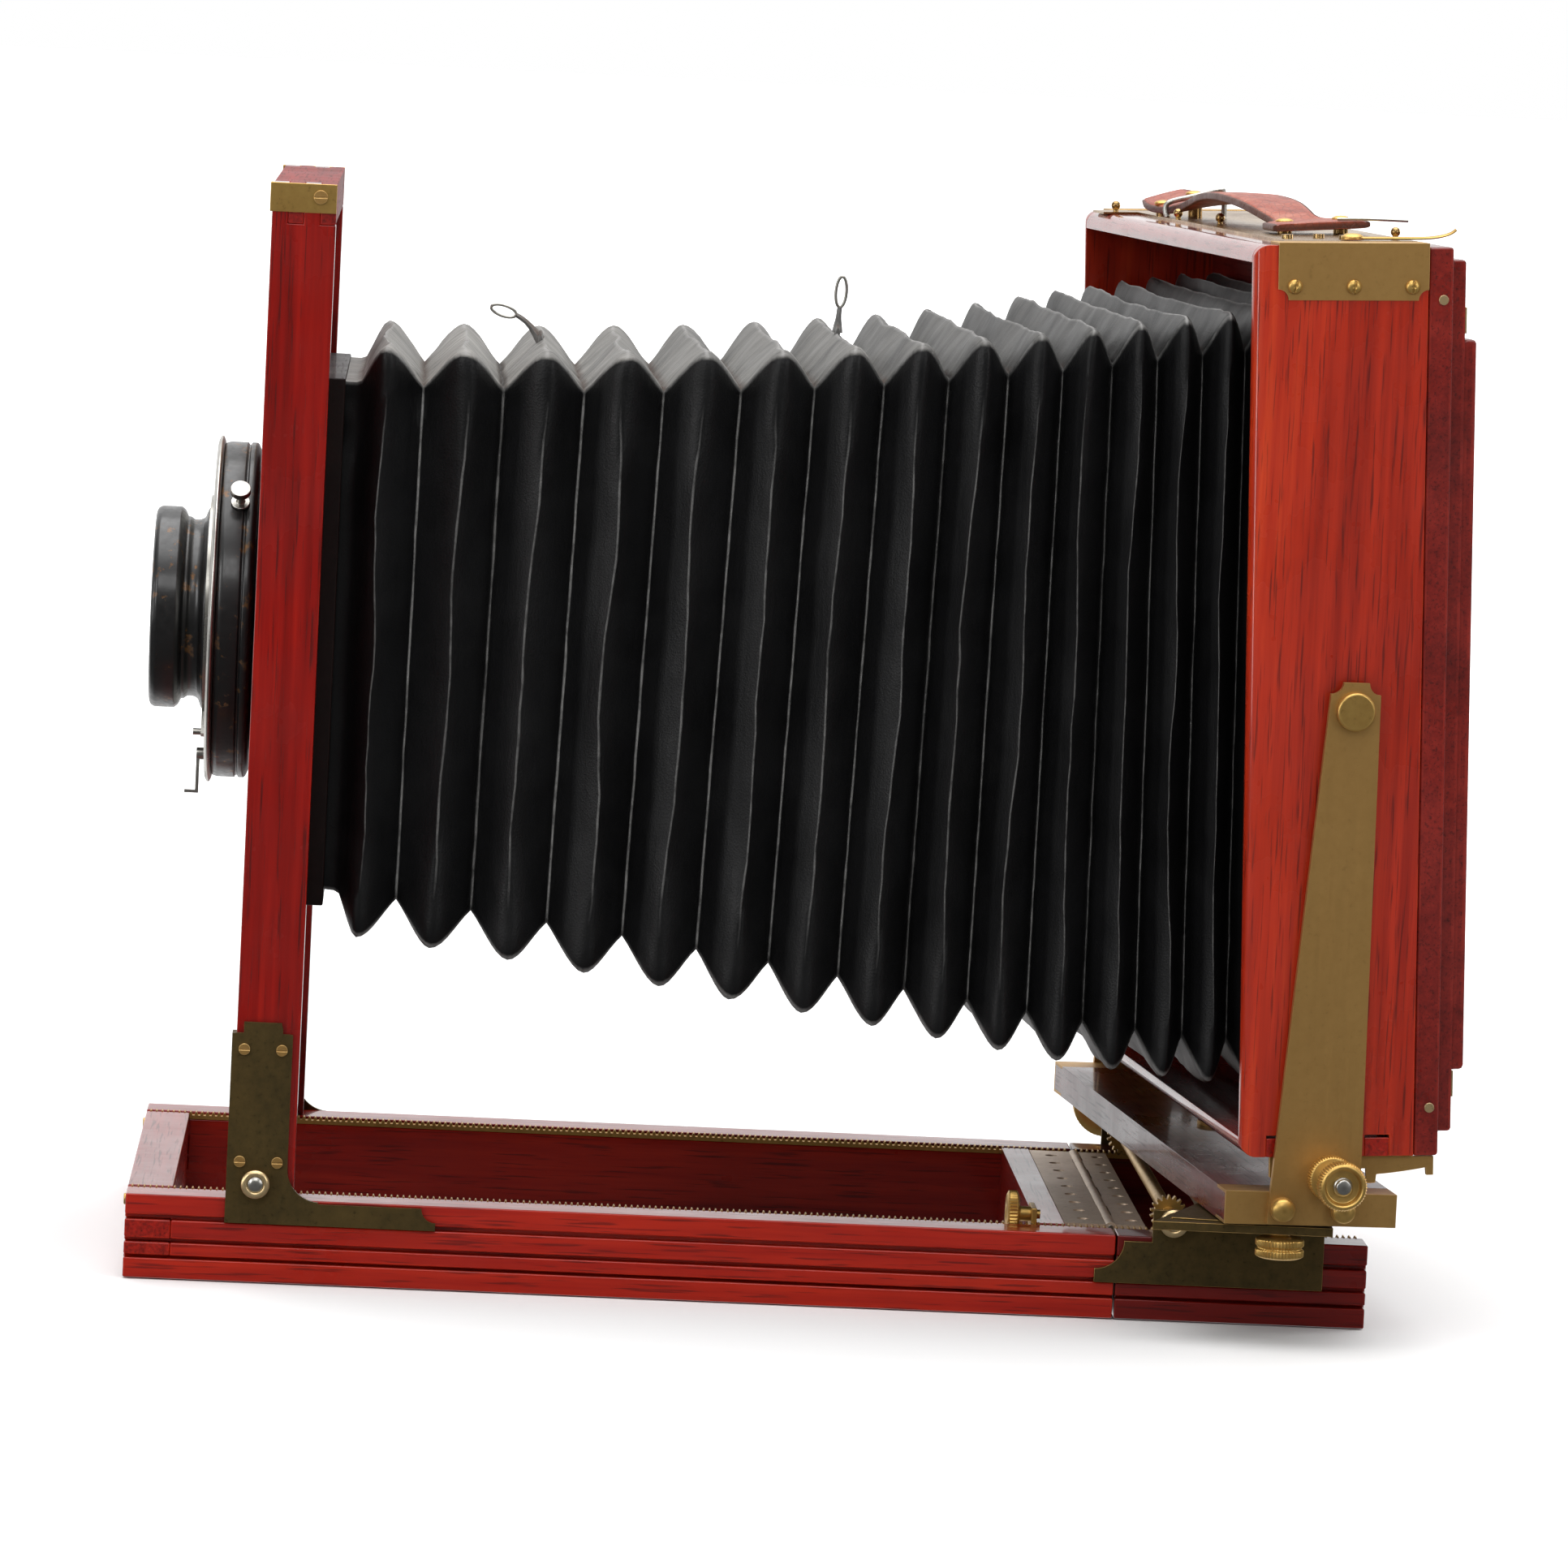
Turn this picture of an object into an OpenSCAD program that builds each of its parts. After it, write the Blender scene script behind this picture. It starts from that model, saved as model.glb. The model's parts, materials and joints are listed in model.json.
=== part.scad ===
// View camera on a folding bed, with racked front standard, swinging and tilting back and leather bellows.
// Frame: +Z up, lens towards -Y, origin on the tripod bush's axis at the underside of the bed.

/* [Bed] */
// Half of the bed's outer width
bed_half = 117.5; // [112:0.5:122]
// Height of the bed
bed_h = 29.3; // [28:0.1:31]
// Width of each rail
rail_w = 22; // [20:1:24]
// Distance from the bush to the front end of the bed
bed_front = 376.5; // [374:0.5:380]
// Distance from the bush forward to the fold
bed_fold = 32; // [31.5:0.1:32.2]
// Distance from the bush to the rear end of the bed
bed_rear = 56; // [55:0.5:62]

/* [Front standard] */
// Height of the posts' tops above the bed's underside
post_top = 381; // [378:1:390]
// Depth of the posts along the bed
post_d = 22; // [20:1:24]
// Thickness of the posts across the bed
post_w = 16; // [15:1:16]
// Height of the lens axis
lens_z = 224.5; // [220:0.5:228]

/* [Back] */
// Swing of the back at rest, in degrees
swing_rest = 6; // [4:0.5:7]
// Forward tilt of the case at rest, in degrees
tilt_rest = 2.2; // [1.5:0.1:2.5]
// Width of the case
case_w = 330; // [328:1:331]
// Depth of the case
case_d = 60; // [59:0.5:60.5]
// Thickness of the case boards
board = 6.4; // [6:0.1:7]

/* [Bellows] */
// Number of folds
folds = 17; // [17:1:17]
// Thickness of the leather and its lining
leather = 1.4; // [1:0.1:2]
// Depth of the folds
fold_d = 14; // [10:1:15]

/* [Racks] */
// Tooth pitch of the racks
pitch = 2.1; // [2.1:0.1:2.1]
// Teeth of each pinion
pinion_teeth = 18; // [18:1:18]

/* [Hidden] */
$fn = 48;

mahogany = "firebrick";
dark_wood = "maroon";
brass = "darkgoldenrod";
nickel = "silver";
black = "black";
hide = "sienna";

rail_in = bed_half - rail_w;
slide_gap = 0.3;
run = 0.05;
dome = 2;
// Place of the cocking pin around the shutter, in degrees above the horizontal
cocking_a = 43;
sheet = 1.6;

// Heights of the three side grooves, each [bottom, top]
grooves = [[20.5, 22.2], [12.6, 14], [7, 8.1]];
groove_d = 3;
crosspiece_d = 16;
lock_at = [90, 31.6];
finger_heights = [[8.1, 12.6], [14, 20.5]];

rack_w = 4.5;
rack_base = 27;
rack_line = 28.95;
tooth_half = 0.42;
tooth_slope = 0.36;
pinion_r = pinion_teeth * pitch / (2 * PI);
pinion_z = rack_line + pinion_r;
shaft_r = 2.5;
front_pinion_y = -158 * pitch;
rear_pinion_y = -6 * pitch;
front_reach = 136;
rear_reach = 194;

post_y = -340.5;
post_out = bed_half + slide_gap;
post_in = post_out - post_w;
post_foot = 29.8;
panel_y = -333.3;
panel_d = 10.5;

swing_y = 12;
board_z = [42.6, 54];
board_half = 166;
board_y = [-29.5, 30.4];
knob_at = [160, -8.2];
tilt_y = 5.8;
tilt_z = 220;
tilt_r = 160.2;
arm_x = [167.5, 170];
arm_foot = 43.2;
pivot_r = 3;
tilt_bolt_r = 1.5;
tilt_bolt_in = 159.2;

case_front = -35.9;
case_back = case_front + case_d;
case_low = -153.6;
case_high = 158.4;
case_mid = (case_low + case_high) / 2;
glass_w = 254;
glass_h = 203;

bellows_y = -313;
bellows_len = 343;
// How far the folds' lower edges are pushed forward where the bellows sags, in degrees
sag = 2.1;
// Share of a fold left open where two sections of the bellows meet
seam = 0.004;

// Places children in the frame of the swinging board: x and y from its pivot, z from the bed's underside
module swung() translate([0, swing_y, 0]) rotate([0, 0, swing_rest]) children();
// Places children in the frame of the case, with its origin on the tilt axis
module tilted() swung() translate([0, tilt_y, tilt_z]) rotate([tilt_rest, 0, 0]) children();
// Draws children and their mirror image
module pair() {
    children();
    mirror([1, 0, 0]) children();
}
// Box from its lowest to its highest corner
module box(low, high) translate(low) cube(high - low);
// Extrudes an outline drawn in Y and Z along +X
module side_profile(x, h) translate([x, 0, 0]) rotate([90, 0, 90]) linear_extrude(h) children();
// Extrudes an outline drawn in X and Z along +Y
module front_profile(y, h) translate([0, y + h, 0]) rotate([90, 0, 0]) linear_extrude(h) children();
module rod_x(at, h, r) translate(at) rotate([0, 90, 0]) cylinder(h = h, r = r);
module rod_y(at, h, r) translate(at) rotate([-90, 0, 0]) cylinder(h = h, r = r);
// Square ring standing across the camera
module ring_frame(y, d, out, hole, mid = 0) difference() {
    box([-out[0], y, mid - out[1]], [out[0], y + d, mid + out[1]]);
    box([-hole[0], y - 1, mid - hole[1]], [hole[0], y + d + 1, mid + hole[1]]);
}
// Slotted screw head on a surface that faces +X
module side_screw(at, r = 2.3, h = 0.9) translate(at) difference() {
    rod_x([0, 0, 0], h, r);
    box([h / 2, -r, -0.3], [h + 1, r, 0.3]);
}

// ---- bed ----
module rail(from, to) difference() {
    box([rail_in, from, 0], [bed_half, to, bed_h]);
    for (g = grooves)
        box([bed_half - groove_d, from - 1, g[0]], [bed_half + 1, to + 1, g[1]]);
    box([rail_in - 1, from - 1, rack_base], [rail_in + rack_w, to + 1, bed_h + 1]);
}
module crosspiece_fingers(grow = 0) for (z = finger_heights)
    box([rail_in - 0.01, -bed_front - grow, z[0]], [bed_half + grow, -bed_front + crosspiece_d, z[1]]);
module bed_rails() color(mahogany) pair() difference() {
    rail(-bed_front, -bed_fold - 0.2);
    crosspiece_fingers(1);
}
module bed_front_crosspiece() color(mahogany) {
    box([-rail_in, -bed_front, 0], [rail_in, -bed_front + crosspiece_d, bed_h]);
    pair() crosspiece_fingers();
}
leaf_z = [27.7, bed_h];
leaf_d = 16.4;
module bed_rear_crosspiece() color(mahogany) difference() {
    box([-rail_in, -58.4, 0], [rail_in, -bed_fold - 0.2, bed_h]);
    box([-rail_in - 1, -bed_fold - leaf_d, leaf_z[0]], [rail_in + 1, -bed_fold, bed_h + 1]);
    rod_x([-rail_in - 1, -bed_fold, leaf_z[0]], 2 * rail_in + 2, 2.4);
}
module rear_bed_rails() color(dark_wood) pair() rail(-bed_fold + 0.4, bed_rear);
module rear_bed_board() color(dark_wood) difference() {
    union() {
        box([-rail_in, -bed_fold + 0.4, 0], [rail_in, bed_rear, 14]);
        box([-rail_in, -bed_fold + 0.4, 14], [rail_in, -bed_fold + 12, leaf_z[0]]);
    }
    rod_x([-rail_in - 1, -bed_fold, leaf_z[0]], 2 * rail_in + 2, 2.4);
    translate([0, 0, -1]) cylinder(h = 20, r = 9);
    translate([0, 0, -1]) cylinder(h = 4, r = 14);
}
module bed_hinge_leaves() color(brass) {
    for (side = [0, 1]) difference() {
        union() {
            box([-92, side ? -bed_fold + 0.6 : -bed_fold - leaf_d, leaf_z[0]],
                [92, side ? -bed_fold + 12 : -bed_fold - 0.6, bed_h]);
            for (k = [side : 2 : 7])
                rod_x([-92 + k * 23 + 0.1, -bed_fold, leaf_z[0] + 0.4], 22.8, 2);
        }
        rod_x([-95, -bed_fold, leaf_z[0] + 0.4], 190, 1);
        for (k = [1 - side : 2 : 7])
            rod_x([-92 + k * 23 - 0.1, -bed_fold, leaf_z[0] + 0.4], 23.2, 2.3);
        for (x = [-80 : 20 : 80])
            translate([x, side ? -bed_fold + 8 : -bed_fold - 9, leaf_z[0] + 0.7]) cylinder(h = 3, r = 2.2);
    }
}
module bed_hinge_pin() color(brass) rod_x([-92, -bed_fold, leaf_z[0] + 0.4], 184, 1);
module tripod_bush() color(brass) difference() {
    union() {
        cylinder(h = 14, r = 9);
        cylinder(h = 3, r = 14);
    }
    translate([0, 0, -1]) cylinder(h = 20, r = 4.7625);
}
function rack_outline(first, last) = concat(
    [[first * pitch, rack_base]],
    [for (k = [first : last - 1]) let (mid = (k + 0.5) * pitch) each [
        [mid - tooth_half - 0.6 * tooth_slope, rack_line - 0.6],
        [mid - tooth_half + 0.65 * tooth_slope, rack_line + 0.65],
        [mid + tooth_half - 0.65 * tooth_slope, rack_line + 0.65],
        [mid + tooth_half + 0.6 * tooth_slope, rack_line - 0.6]]],
    [[last * pitch, rack_base]]);
module focus_racks() color(brass) pair() {
    side_profile(rail_in, rack_w) polygon(rack_outline(-179, -16));
    side_profile(rail_in, rack_w) polygon(rack_outline(-15, 26));
}
module bed_fittings() color(brass) {
    difference() {
        box([80, -60.4, 12], [95, -58.4, bed_h + 5]);
        rod_y([lock_at[0], -62, lock_at[1]], 6, 1.6 + run);
    }
    pair() rod_y([rail_in + 2.2, -bed_front - 1.2, rack_base - 2.5], 1.2, 2);
}
module bed_lock_knob() color(brass) {
    rod_y([lock_at[0], -71, lock_at[1]], 8, 4.4);
    rod_y([lock_at[0], -63.1, lock_at[1]], 2.2, 2.6);
    rod_y([lock_at[0], -61, lock_at[1]], 4, 1.6);
}

// ---- front standard ----
module front_posts() color(mahogany) pair() difference() {
    box([post_in, post_y, post_foot], [post_out, post_y + post_d, post_top]);
    box([post_in - 1, panel_y - slide_gap, 80], [post_in + 3, panel_y + panel_d + slide_gap, 366]);
    rod_x([post_in - 1, front_pinion_y, pinion_z], post_w + 2, shaft_r + 0.5);
    for (k = [0 : 1])
        box([post_in - 1, post_y + 5.5 + 11 * k, 367], [post_out + 1, post_y + 11 + 11 * k, post_top + 1]);
}
module front_top_rail() color(mahogany) {
    box([-post_in, post_y, 367], [post_in, post_y + post_d, post_top]);
    pair() for (k = [0 : 1])
        box([post_in - 0.01, post_y + 5.5 + 11 * k, 367], [post_out, post_y + 11 + 11 * k, post_top]);
}
module front_bottom_rail() color(mahogany)
    box([-post_in, post_y + 6, 44], [post_in, post_y + 16, 62]);
// Angle bracket's outline: upright plate with a raised tab, fillet and a long foot
module bracket_outline() difference() {
    union() {
        translate([-342, 20.8]) square([21, 66.4]);
        translate([-338, 87]) square([13.5, 4]);
        translate([-342, 20.8]) square([73, 7.6]);
        difference() {
            translate([-322, 28]) square([12, 12]);
            translate([-309.5, 40.5]) circle(11.5);
        }
    }
    translate([-269, 28.4]) circle(5);
    translate([-342, 91]) circle(4);
    translate([-321, 91]) circle(4);
}
module front_brackets() color(brass) pair() difference() {
    union() {
        side_profile(post_out, sheet) bracket_outline();
        box([post_out - 2.5, -342, 20.8], [post_out, -269, 21.9]);
        box([post_out - 8, -342, 31], [post_out, post_y, 87]);
    }
    rod_x([post_out - 1, front_pinion_y, pinion_z], 4, shaft_r + run);
}
module front_corner_straps() color(brass) pair() {
    box([post_out, post_y - 0.8, 371], [post_out + 0.8, post_y + post_d, post_top]);
    box([post_out - 8, post_y - 0.8, 371], [post_out, post_y, post_top]);
}
module front_screws() color(brass) pair() {
    for (z = [42.4, 81.6]) for (y = [-337.6, -324.6]) side_screw([post_out + sheet, y, z], 2);
    side_screw([post_out + 0.8, -324, 376.5], 2.4);
}
function gear_corner(r, half, turn, side) =
    let (a = turn + side * asin(half / r)) r * [cos(a), sin(a)];
function gear_outline(teeth, r) = [for (k = [0 : teeth - 1]) let (a = -90 + k * 360 / teeth) each [
    gear_corner(r - 0.8, tooth_half + 0.8 * tooth_slope - 0.05, a, -1),
    gear_corner(r + 0.5, tooth_half - 0.5 * tooth_slope, a, -1),
    gear_corner(r + 0.5, tooth_half - 0.5 * tooth_slope, a, 1),
    gear_corner(r - 0.8, tooth_half + 0.8 * tooth_slope - 0.05, a, 1)]];
// Shaft with a pinion over each rack and a domed end outside the right-hand plate
module pinion_shaft(y, reach) translate([0, y, pinion_z]) {
    rod_x([-reach, 0, 0], reach + post_out + sheet + 0.3, shaft_r);
    pair() side_profile(rail_in + 0.3, 3.8) polygon(gear_outline(pinion_teeth, pinion_r));
    rod_x([post_out + sheet + 0.2, 0, 0], 2, 4.2);
    rod_x([post_out + sheet + 2.2, 0, 0], 0.8, 2.6);
}
module focus_knob(y, reach) translate([-reach, y, pinion_z]) difference() {
    union() {
        rod_x([-2, 0, 0], 9, 12.5);
        rod_x([7, 0, 0], 8, 5);
    }
    rod_x([0, 0, 0], 20, shaft_r);
}
module front_pinion() color(brass) pinion_shaft(front_pinion_y, front_reach);
module front_focus_knob() color(brass) focus_knob(front_pinion_y, front_reach);

// ---- lens ----
module lens_panel() color(mahogany) difference() {
    union() {
        box([-post_in - 2.7, panel_y, lens_z - 105], [post_in + 2.7, panel_y + panel_d, lens_z + 105]);
        box([-76, panel_y - 3, lens_z - 82], [76, panel_y, lens_z - 76.1]);
    }
    rod_y([0, panel_y - 1, lens_z], panel_d + 2, 50);
}
module lensboard() color(dark_wood) difference() {
    box([-76, -340, lens_z - 76], [76, panel_y, lens_z + 76]);
    rod_y([0, -341, lens_z], 10, 29);
}
module lensboard_slider() color(brass) {
    box([-30, -341.5, lens_z + 76.3], [30, panel_y - slide_gap, lens_z + 84]);
    box([-30, -341.5, lens_z + 72], [30, -340 - slide_gap, lens_z + 76.3]);
}
module shutter_body() color(black) difference() {
    union() {
        rod_y([0, -355.5, lens_z], 13.5, 60);
        rod_y([0, -342, lens_z], 2, 50);
        translate([27, -348, lens_z - 66]) cylinder(h = 14, r = 3);
        translate([27, -348, lens_z - 58]) cylinder(h = 3, r = 5.2);
    }
    rod_y([0, -356, lens_z], 20, 28.5);
}
module shutter_front_ring() color(nickel) difference() {
    rod_y([0, -358, lens_z], 2.5, 62);
    rod_y([0, -359, lens_z], 5, 36);
}
module front_barrel() color(black) translate([0, -379, lens_z]) rotate([-90, 0, 0]) rotate_extrude() polygon([
    [26, 0], [36, 0], [36, 11], [32, 11], [32, 18.3], [36, 18.3], [36, 23.5], [28.4, 23.5], [28.4, 32],
    [26, 32], [26, 9], [28, 7]]);
module rear_barrel() color(black) translate([0, -341, lens_z]) rotate([-90, 0, 0]) rotate_extrude() polygon([
    [24, 0], [28.4, 0], [28.4, 8], [33, 8], [33, 11], [28, 11], [28, 36], [24, 36]]);
// One lens element: a disc with its two faces domed
module element(y, r, t) translate([0, y, lens_z]) rotate([-90, 0, 0]) rotate_extrude() polygon(concat(
    [for (k = [0 : 4]) [r * k / 4, dome * k * k / 16]],
    [for (k = [4 : -1 : 0]) [r * k / 4, t - dome * k * k / 16]]));
module lens_glasses() color("lightblue") {
    element(-370, 26, 6);
    element(-318, 24, 6);
}
// Turns children about the lens axis: a part along +X rises by this many degrees
module around_lens(a) translate([0, 0, lens_z]) rotate([0, -a, 0]) children();
module cocking_lever() color(nickel) around_lens(cocking_a) {
    rod_x([60.2, -348.5, 0], 1, 3.4);
    rod_x([61.2, -348.5, 0], 5.8, 1.5);
    rod_x([66, -348.5, 0], 2.4, 3.6);
}
module aperture_lever() color(nickel) {
    translate([0, -359.6, lens_z]) rotate([-90, 0, 0]) difference() {
        cylinder(h = 1.4, r = 40.5);
        translate([0, 0, -1]) cylinder(h = 4, r = 36.2);
    }
    around_lens(-62) box([39, -359.6, -1.5], [49.3, -358.2, 1.5]);
    around_lens(-62) rod_y([48, -362.4, 0], 3, 1.2);
}
module release_lever() color(nickel) {
    around_lens(-84) {
        rod_y([52, -361.2, 0], 3, 2.2);
        box([52, -361.2, -1.3], [66, -360, 1.3]);
        box([65, -365, -1.3], [66.2, -360, 1.3]);
    }
}
module bellows_front_frame() color(dark_wood)
    ring_frame(panel_y + panel_d, -313 - panel_y - panel_d, [92, 92], [80, 80], 221.5);

// ---- bellows ----
// Place along the bellows after u folds, measured from its front frame: the folds close up towards the case
function fold_y(u) = let (s = u / folds)
    bellows_len * s * (1.268 + 0.583 * s - 1.659 * s * s + 0.808 * s * s * s);
// Half size of the bellows after u folds: whole numbers are valleys, halves are ridges
function fold_half(u) = let (s = u / folds)
    89 + 11 * s + 88 * s * s - 67 * s * s * s + fold_d * (1 - abs(2 * (u - floor(u)) - 1));
function fold_mid(u) = let (s = u / folds) 223.7 - 25 * s + 24 * s * s;
// Share of the back's swing and tilt that the bellows has taken up after u folds
function fold_turn(u) = u * u / (folds * folds);
function fold_lean(u) = tilt_rest * fold_turn(u) - sag * sin(15 * min(u, 12));
function fold_corner(u, i, inset) = let (
    half = fold_half(u) - inset,
    x = half * [1, -1, -1, 1][i],
    z = half * [1, 1, -1, -1][i],
    a = swing_rest * fold_turn(u),
    b = fold_lean(u))
    [x * cos(a) + z * sin(b) * sin(a),
     bellows_y + fold_y(u) + x * sin(a) - z * sin(b),
     fold_mid(u) + z * cos(b)];
module bellows_section(from, to) {
    steps = 2 * (to - from);
    us = [for (s = [0 : steps]) from + s / 2 + (s == 0 ? seam : s == steps ? -seam : 0)];
    outer = [for (u = us) for (i = [0 : 3]) fold_corner(u, i, 0)];
    inner = [for (u = us) for (i = [0 : 3]) fold_corner(u, i, leather)];
    n = len(outer);
    walls = [for (s = [0 : steps - 1]) for (i = [0 : 3]) let (
        a = 4 * s + i, b = 4 * s + (i + 1) % 4, c = b + 4, d = a + 4) each [
        [a, b, c], [a, c, d], [n + c, n + b, n + a], [n + d, n + c, n + a]]];
    first = [for (i = [0 : 3]) let (a = i, b = (i + 1) % 4) each [[b, a, n + a], [b, n + a, n + b]]];
    e = 4 * steps;
    last = [for (i = [0 : 3]) let (a = e + i, b = e + (i + 1) % 4) each [[a, b, n + b], [a, n + b, n + a]]];
    color(black) polyhedron(concat(outer, inner), concat(walls, first, last));
}
module bellows_section_1() bellows_section(0, 2);
module bellows_section_2() bellows_section(2, 8);
module bellows_section_3() bellows_section(8, 11);
module bellows_section_4() bellows_section(11, 15);
module bellows_section_5() bellows_section(15, 17);

// ---- rear carriage ----
module carriage_outline() difference() {
    union() {
        translate([-19.6, 12.9]) square([60, 26.1]);
        translate([-39.3, 12.9]) square([20, 14.7]);
    }
    translate([-39.3, 27.6]) circle(10);
}
module carriage_plates() color(brass) pair() difference() {
    union() {
        side_profile(post_out, sheet) carriage_outline();
        box([post_out - 2.5, -39.3, 12.9], [post_out, 40.4, 13.7]);
    }
    rod_x([post_out - 1, rear_pinion_y, pinion_z], 4, shaft_r + run);
}
// Slot of a given radius about the swing pivot, from one angle to another
function arc_points(r, from, to, n) =
    [for (k = [0 : n]) let (a = from + (to - from) * k / n) r * [cos(a), sin(a)]];
module arc_slot(r, half, from, to, n = 16)
    polygon(concat(arc_points(r - half, from, to, n), arc_points(r + half, to, from, n)));
module carriage_crossplate() color(brass) difference() {
    union() {
        box([-post_out - sheet, -4, 39], [post_out + sheet, 40.4, 41.9]);
        translate([0, 0, 39]) linear_extrude(2.9)
            polygon([[post_out - 1, -4], [166.5, -24], [166.5, 38], [post_out - 1, 40]]);
    }
    translate([0, swing_y, 38]) linear_extrude(6) arc_slot(norm(knob_at), 2.4, -10.4, 7.2);
    translate([0, swing_y, 38]) cylinder(h = 6, r = 4 + run);
}
module rear_pinion() color(brass) pinion_shaft(rear_pinion_y, rear_reach);
module rear_focus_knob() color(brass) focus_knob(rear_pinion_y, rear_reach);

// ---- swing board ----
cap_in = 152;
module swing_board() color(mahogany) swung() difference() {
    union() {
        box([-cap_in, board_y[0], board_z[0]], [cap_in, board_y[1], board_z[1]]);
        pair() box([cap_in - 1, board_y[0], board_z[0] + 1], [board_half, board_y[1], board_z[1] - 1]);
    }
    translate([0, 0, 40]) cylinder(h = 16, r = 4);
    translate([knob_at[0], knob_at[1], 40]) cylinder(h = 16, r = 2 + run);
}
module swing_board_caps() color(brass) swung() {
    difference() {
        pair() difference() {
            box([cap_in, board_y[0], board_z[0]], [arm_x[0], board_y[1], board_z[1]]);
            box([cap_in - 1, board_y[0] - 1, board_z[0] + 1], [board_half, board_y[1] + 1, board_z[1] - 1]);
        }
        translate([knob_at[0], knob_at[1], 40]) cylinder(h = 16, r = 2 + run);
    }
    translate([0, 0, 37.5]) cylinder(h = board_z[1] - 37.5, r = 4);
    translate([0, 0, board_z[1]]) cylinder(h = 1.5, r = 7);
}
module swing_clamp_knob() color(brass) swung() translate([knob_at[0], knob_at[1], 0]) {
    translate([0, 0, 30.1]) cylinder(h = 7.5, r = 8.4);
    translate([0, 0, 37.6]) cylinder(h = 1.1, r = 3.4);
    translate([0, 0, 38]) cylinder(h = 14.8, r = 2);
}
module tilt_arm() difference() {
    side_profile(arm_x[0], arm_x[1] - arm_x[0]) difference() {
        polygon([[-15.2, arm_foot], [17, arm_foot], [14.5, 229.8], [-2.4, 229.8]]);
        for (y = [-2.4, 14.5]) translate([y, 229.8]) circle(4);
    }
    rod_x([arm_x[0] - 1, tilt_y, tilt_z], 6, pivot_r + run);
    rod_x([arm_x[0] - 1, tilt_y, tilt_z - tilt_r], 6, tilt_bolt_r + run);
}
module tilt_arms() color(brass) swung() {
    pair() tilt_arm();
    pair() for (y = [-10.2, 10.9]) rod_x([arm_x[1], y, 48.4], 3, 4.2);
}
module tilt_pivot_screws() color(brass) tilted() pair() {
    rod_x([case_w / 2, 0, 0], arm_x[0] - 0.2 - case_w / 2, 5);
    rod_x([case_w / 2 - board, 0, 0], arm_x[1] + 0.2 - case_w / 2 + board, pivot_r);
    rod_x([arm_x[1] + 0.2, 0, 0], 3.2, 6.7);
}
module tilt_knob() swung() translate([0, tilt_y, tilt_z - tilt_r]) {
    rod_x([arm_x[1] + 0.3, 0, 0], 5, 8);
    rod_x([arm_x[1] + 5.3, 0, 0], 12, 4.5);
    rod_x([arm_x[1] + 17.3, 0, 0], 7, 8.5);
    rod_x([tilt_bolt_in, 0, 0], arm_x[1] + 0.4 - tilt_bolt_in, tilt_bolt_r);
    rod_x([tilt_bolt_in, 0, 0], 1.5, 3.2);
}
module tilt_knob_right() color(brass) tilt_knob();
module tilt_knob_left() color(brass) translate([0, swing_y, 0]) rotate([0, 0, swing_rest]) mirror([1, 0, 0])
    rotate([0, 0, -swing_rest]) translate([0, -swing_y, 0]) tilt_knob();

// ---- case ----
joint_fingers = 7;
edge_r = 5;
strap_rise = 12.5;
strap_t = 3;
finger_d = case_d / joint_fingers;
module corner_fingers(low, high, grow = 0) for (k = [1 : 2 : joint_fingers - 1])
    box([case_w / 2 - board - 0.01, case_front + k * finger_d, low - grow],
        [case_w / 2 + grow, case_front + (k + 1) * finger_d, high + grow]);
// Removes a front corner and leaves it rounded, along the height of the case
module upright_round() translate([case_w / 2 - edge_r, case_front + edge_r, 0]) difference() {
    box([0, -edge_r - 1, -200], [edge_r + 1, 0, 200]);
    translate([0, 0, -201]) cylinder(h = 402, r = edge_r);
}
module lying_round(z, up) translate([0, case_front + edge_r, z - up * edge_r]) difference() {
    box([-case_w, -edge_r - 1, up > 0 ? 0 : -edge_r - 1], [case_w, 0, up > 0 ? edge_r + 1 : 0]);
    rod_x([-case_w - 1, 0, 0], 2 * case_w + 2, edge_r);
}
module case_sides() color(mahogany) tilted() pair() difference() {
    box([case_w / 2 - board, case_front, case_low], [case_w / 2, case_back, case_high]);
    corner_fingers(case_low, case_low + board, 1);
    corner_fingers(case_high - board, case_high, 1);
    upright_round();
    rod_x([case_w / 2 - board - 1, 0, 0], board + 2, pivot_r);
    lying_round(case_high, 1);
    lying_round(case_low, -1);
}
module case_lid(low) difference() {
    union() {
        box([-case_w / 2 + board, case_front, low], [case_w / 2 - board, case_back, low + board]);
        pair() corner_fingers(low, low + board);
    }
    lying_round(low > 0 ? case_high : case_low, low > 0 ? 1 : -1);
}
module case_top() color(mahogany) tilted() case_lid(case_high - board);
module case_bottom() color(mahogany) tilted() case_lid(case_low);
plate_front = case_front + 7.8;
module case_corner_plates() color(brass) tilted() pair() {
    side_profile(case_w / 2, 0.9) difference() {
        translate([plate_front, case_high - 18.6]) square([case_back - plate_front, 19.5]);
        for (y = [plate_front, case_back]) translate([y, case_high - 18.6]) circle(3.6);
    }
    box([case_w / 2 - 14, plate_front, case_high], [case_w / 2, case_back, case_high + 0.9]);
    for (k = [0 : 2]) side_screw([case_w / 2 + 0.9, plate_front + 5.7 + k * 20.4, case_high - 14]);
}
fittings_z = case_high + 0.8;
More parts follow.
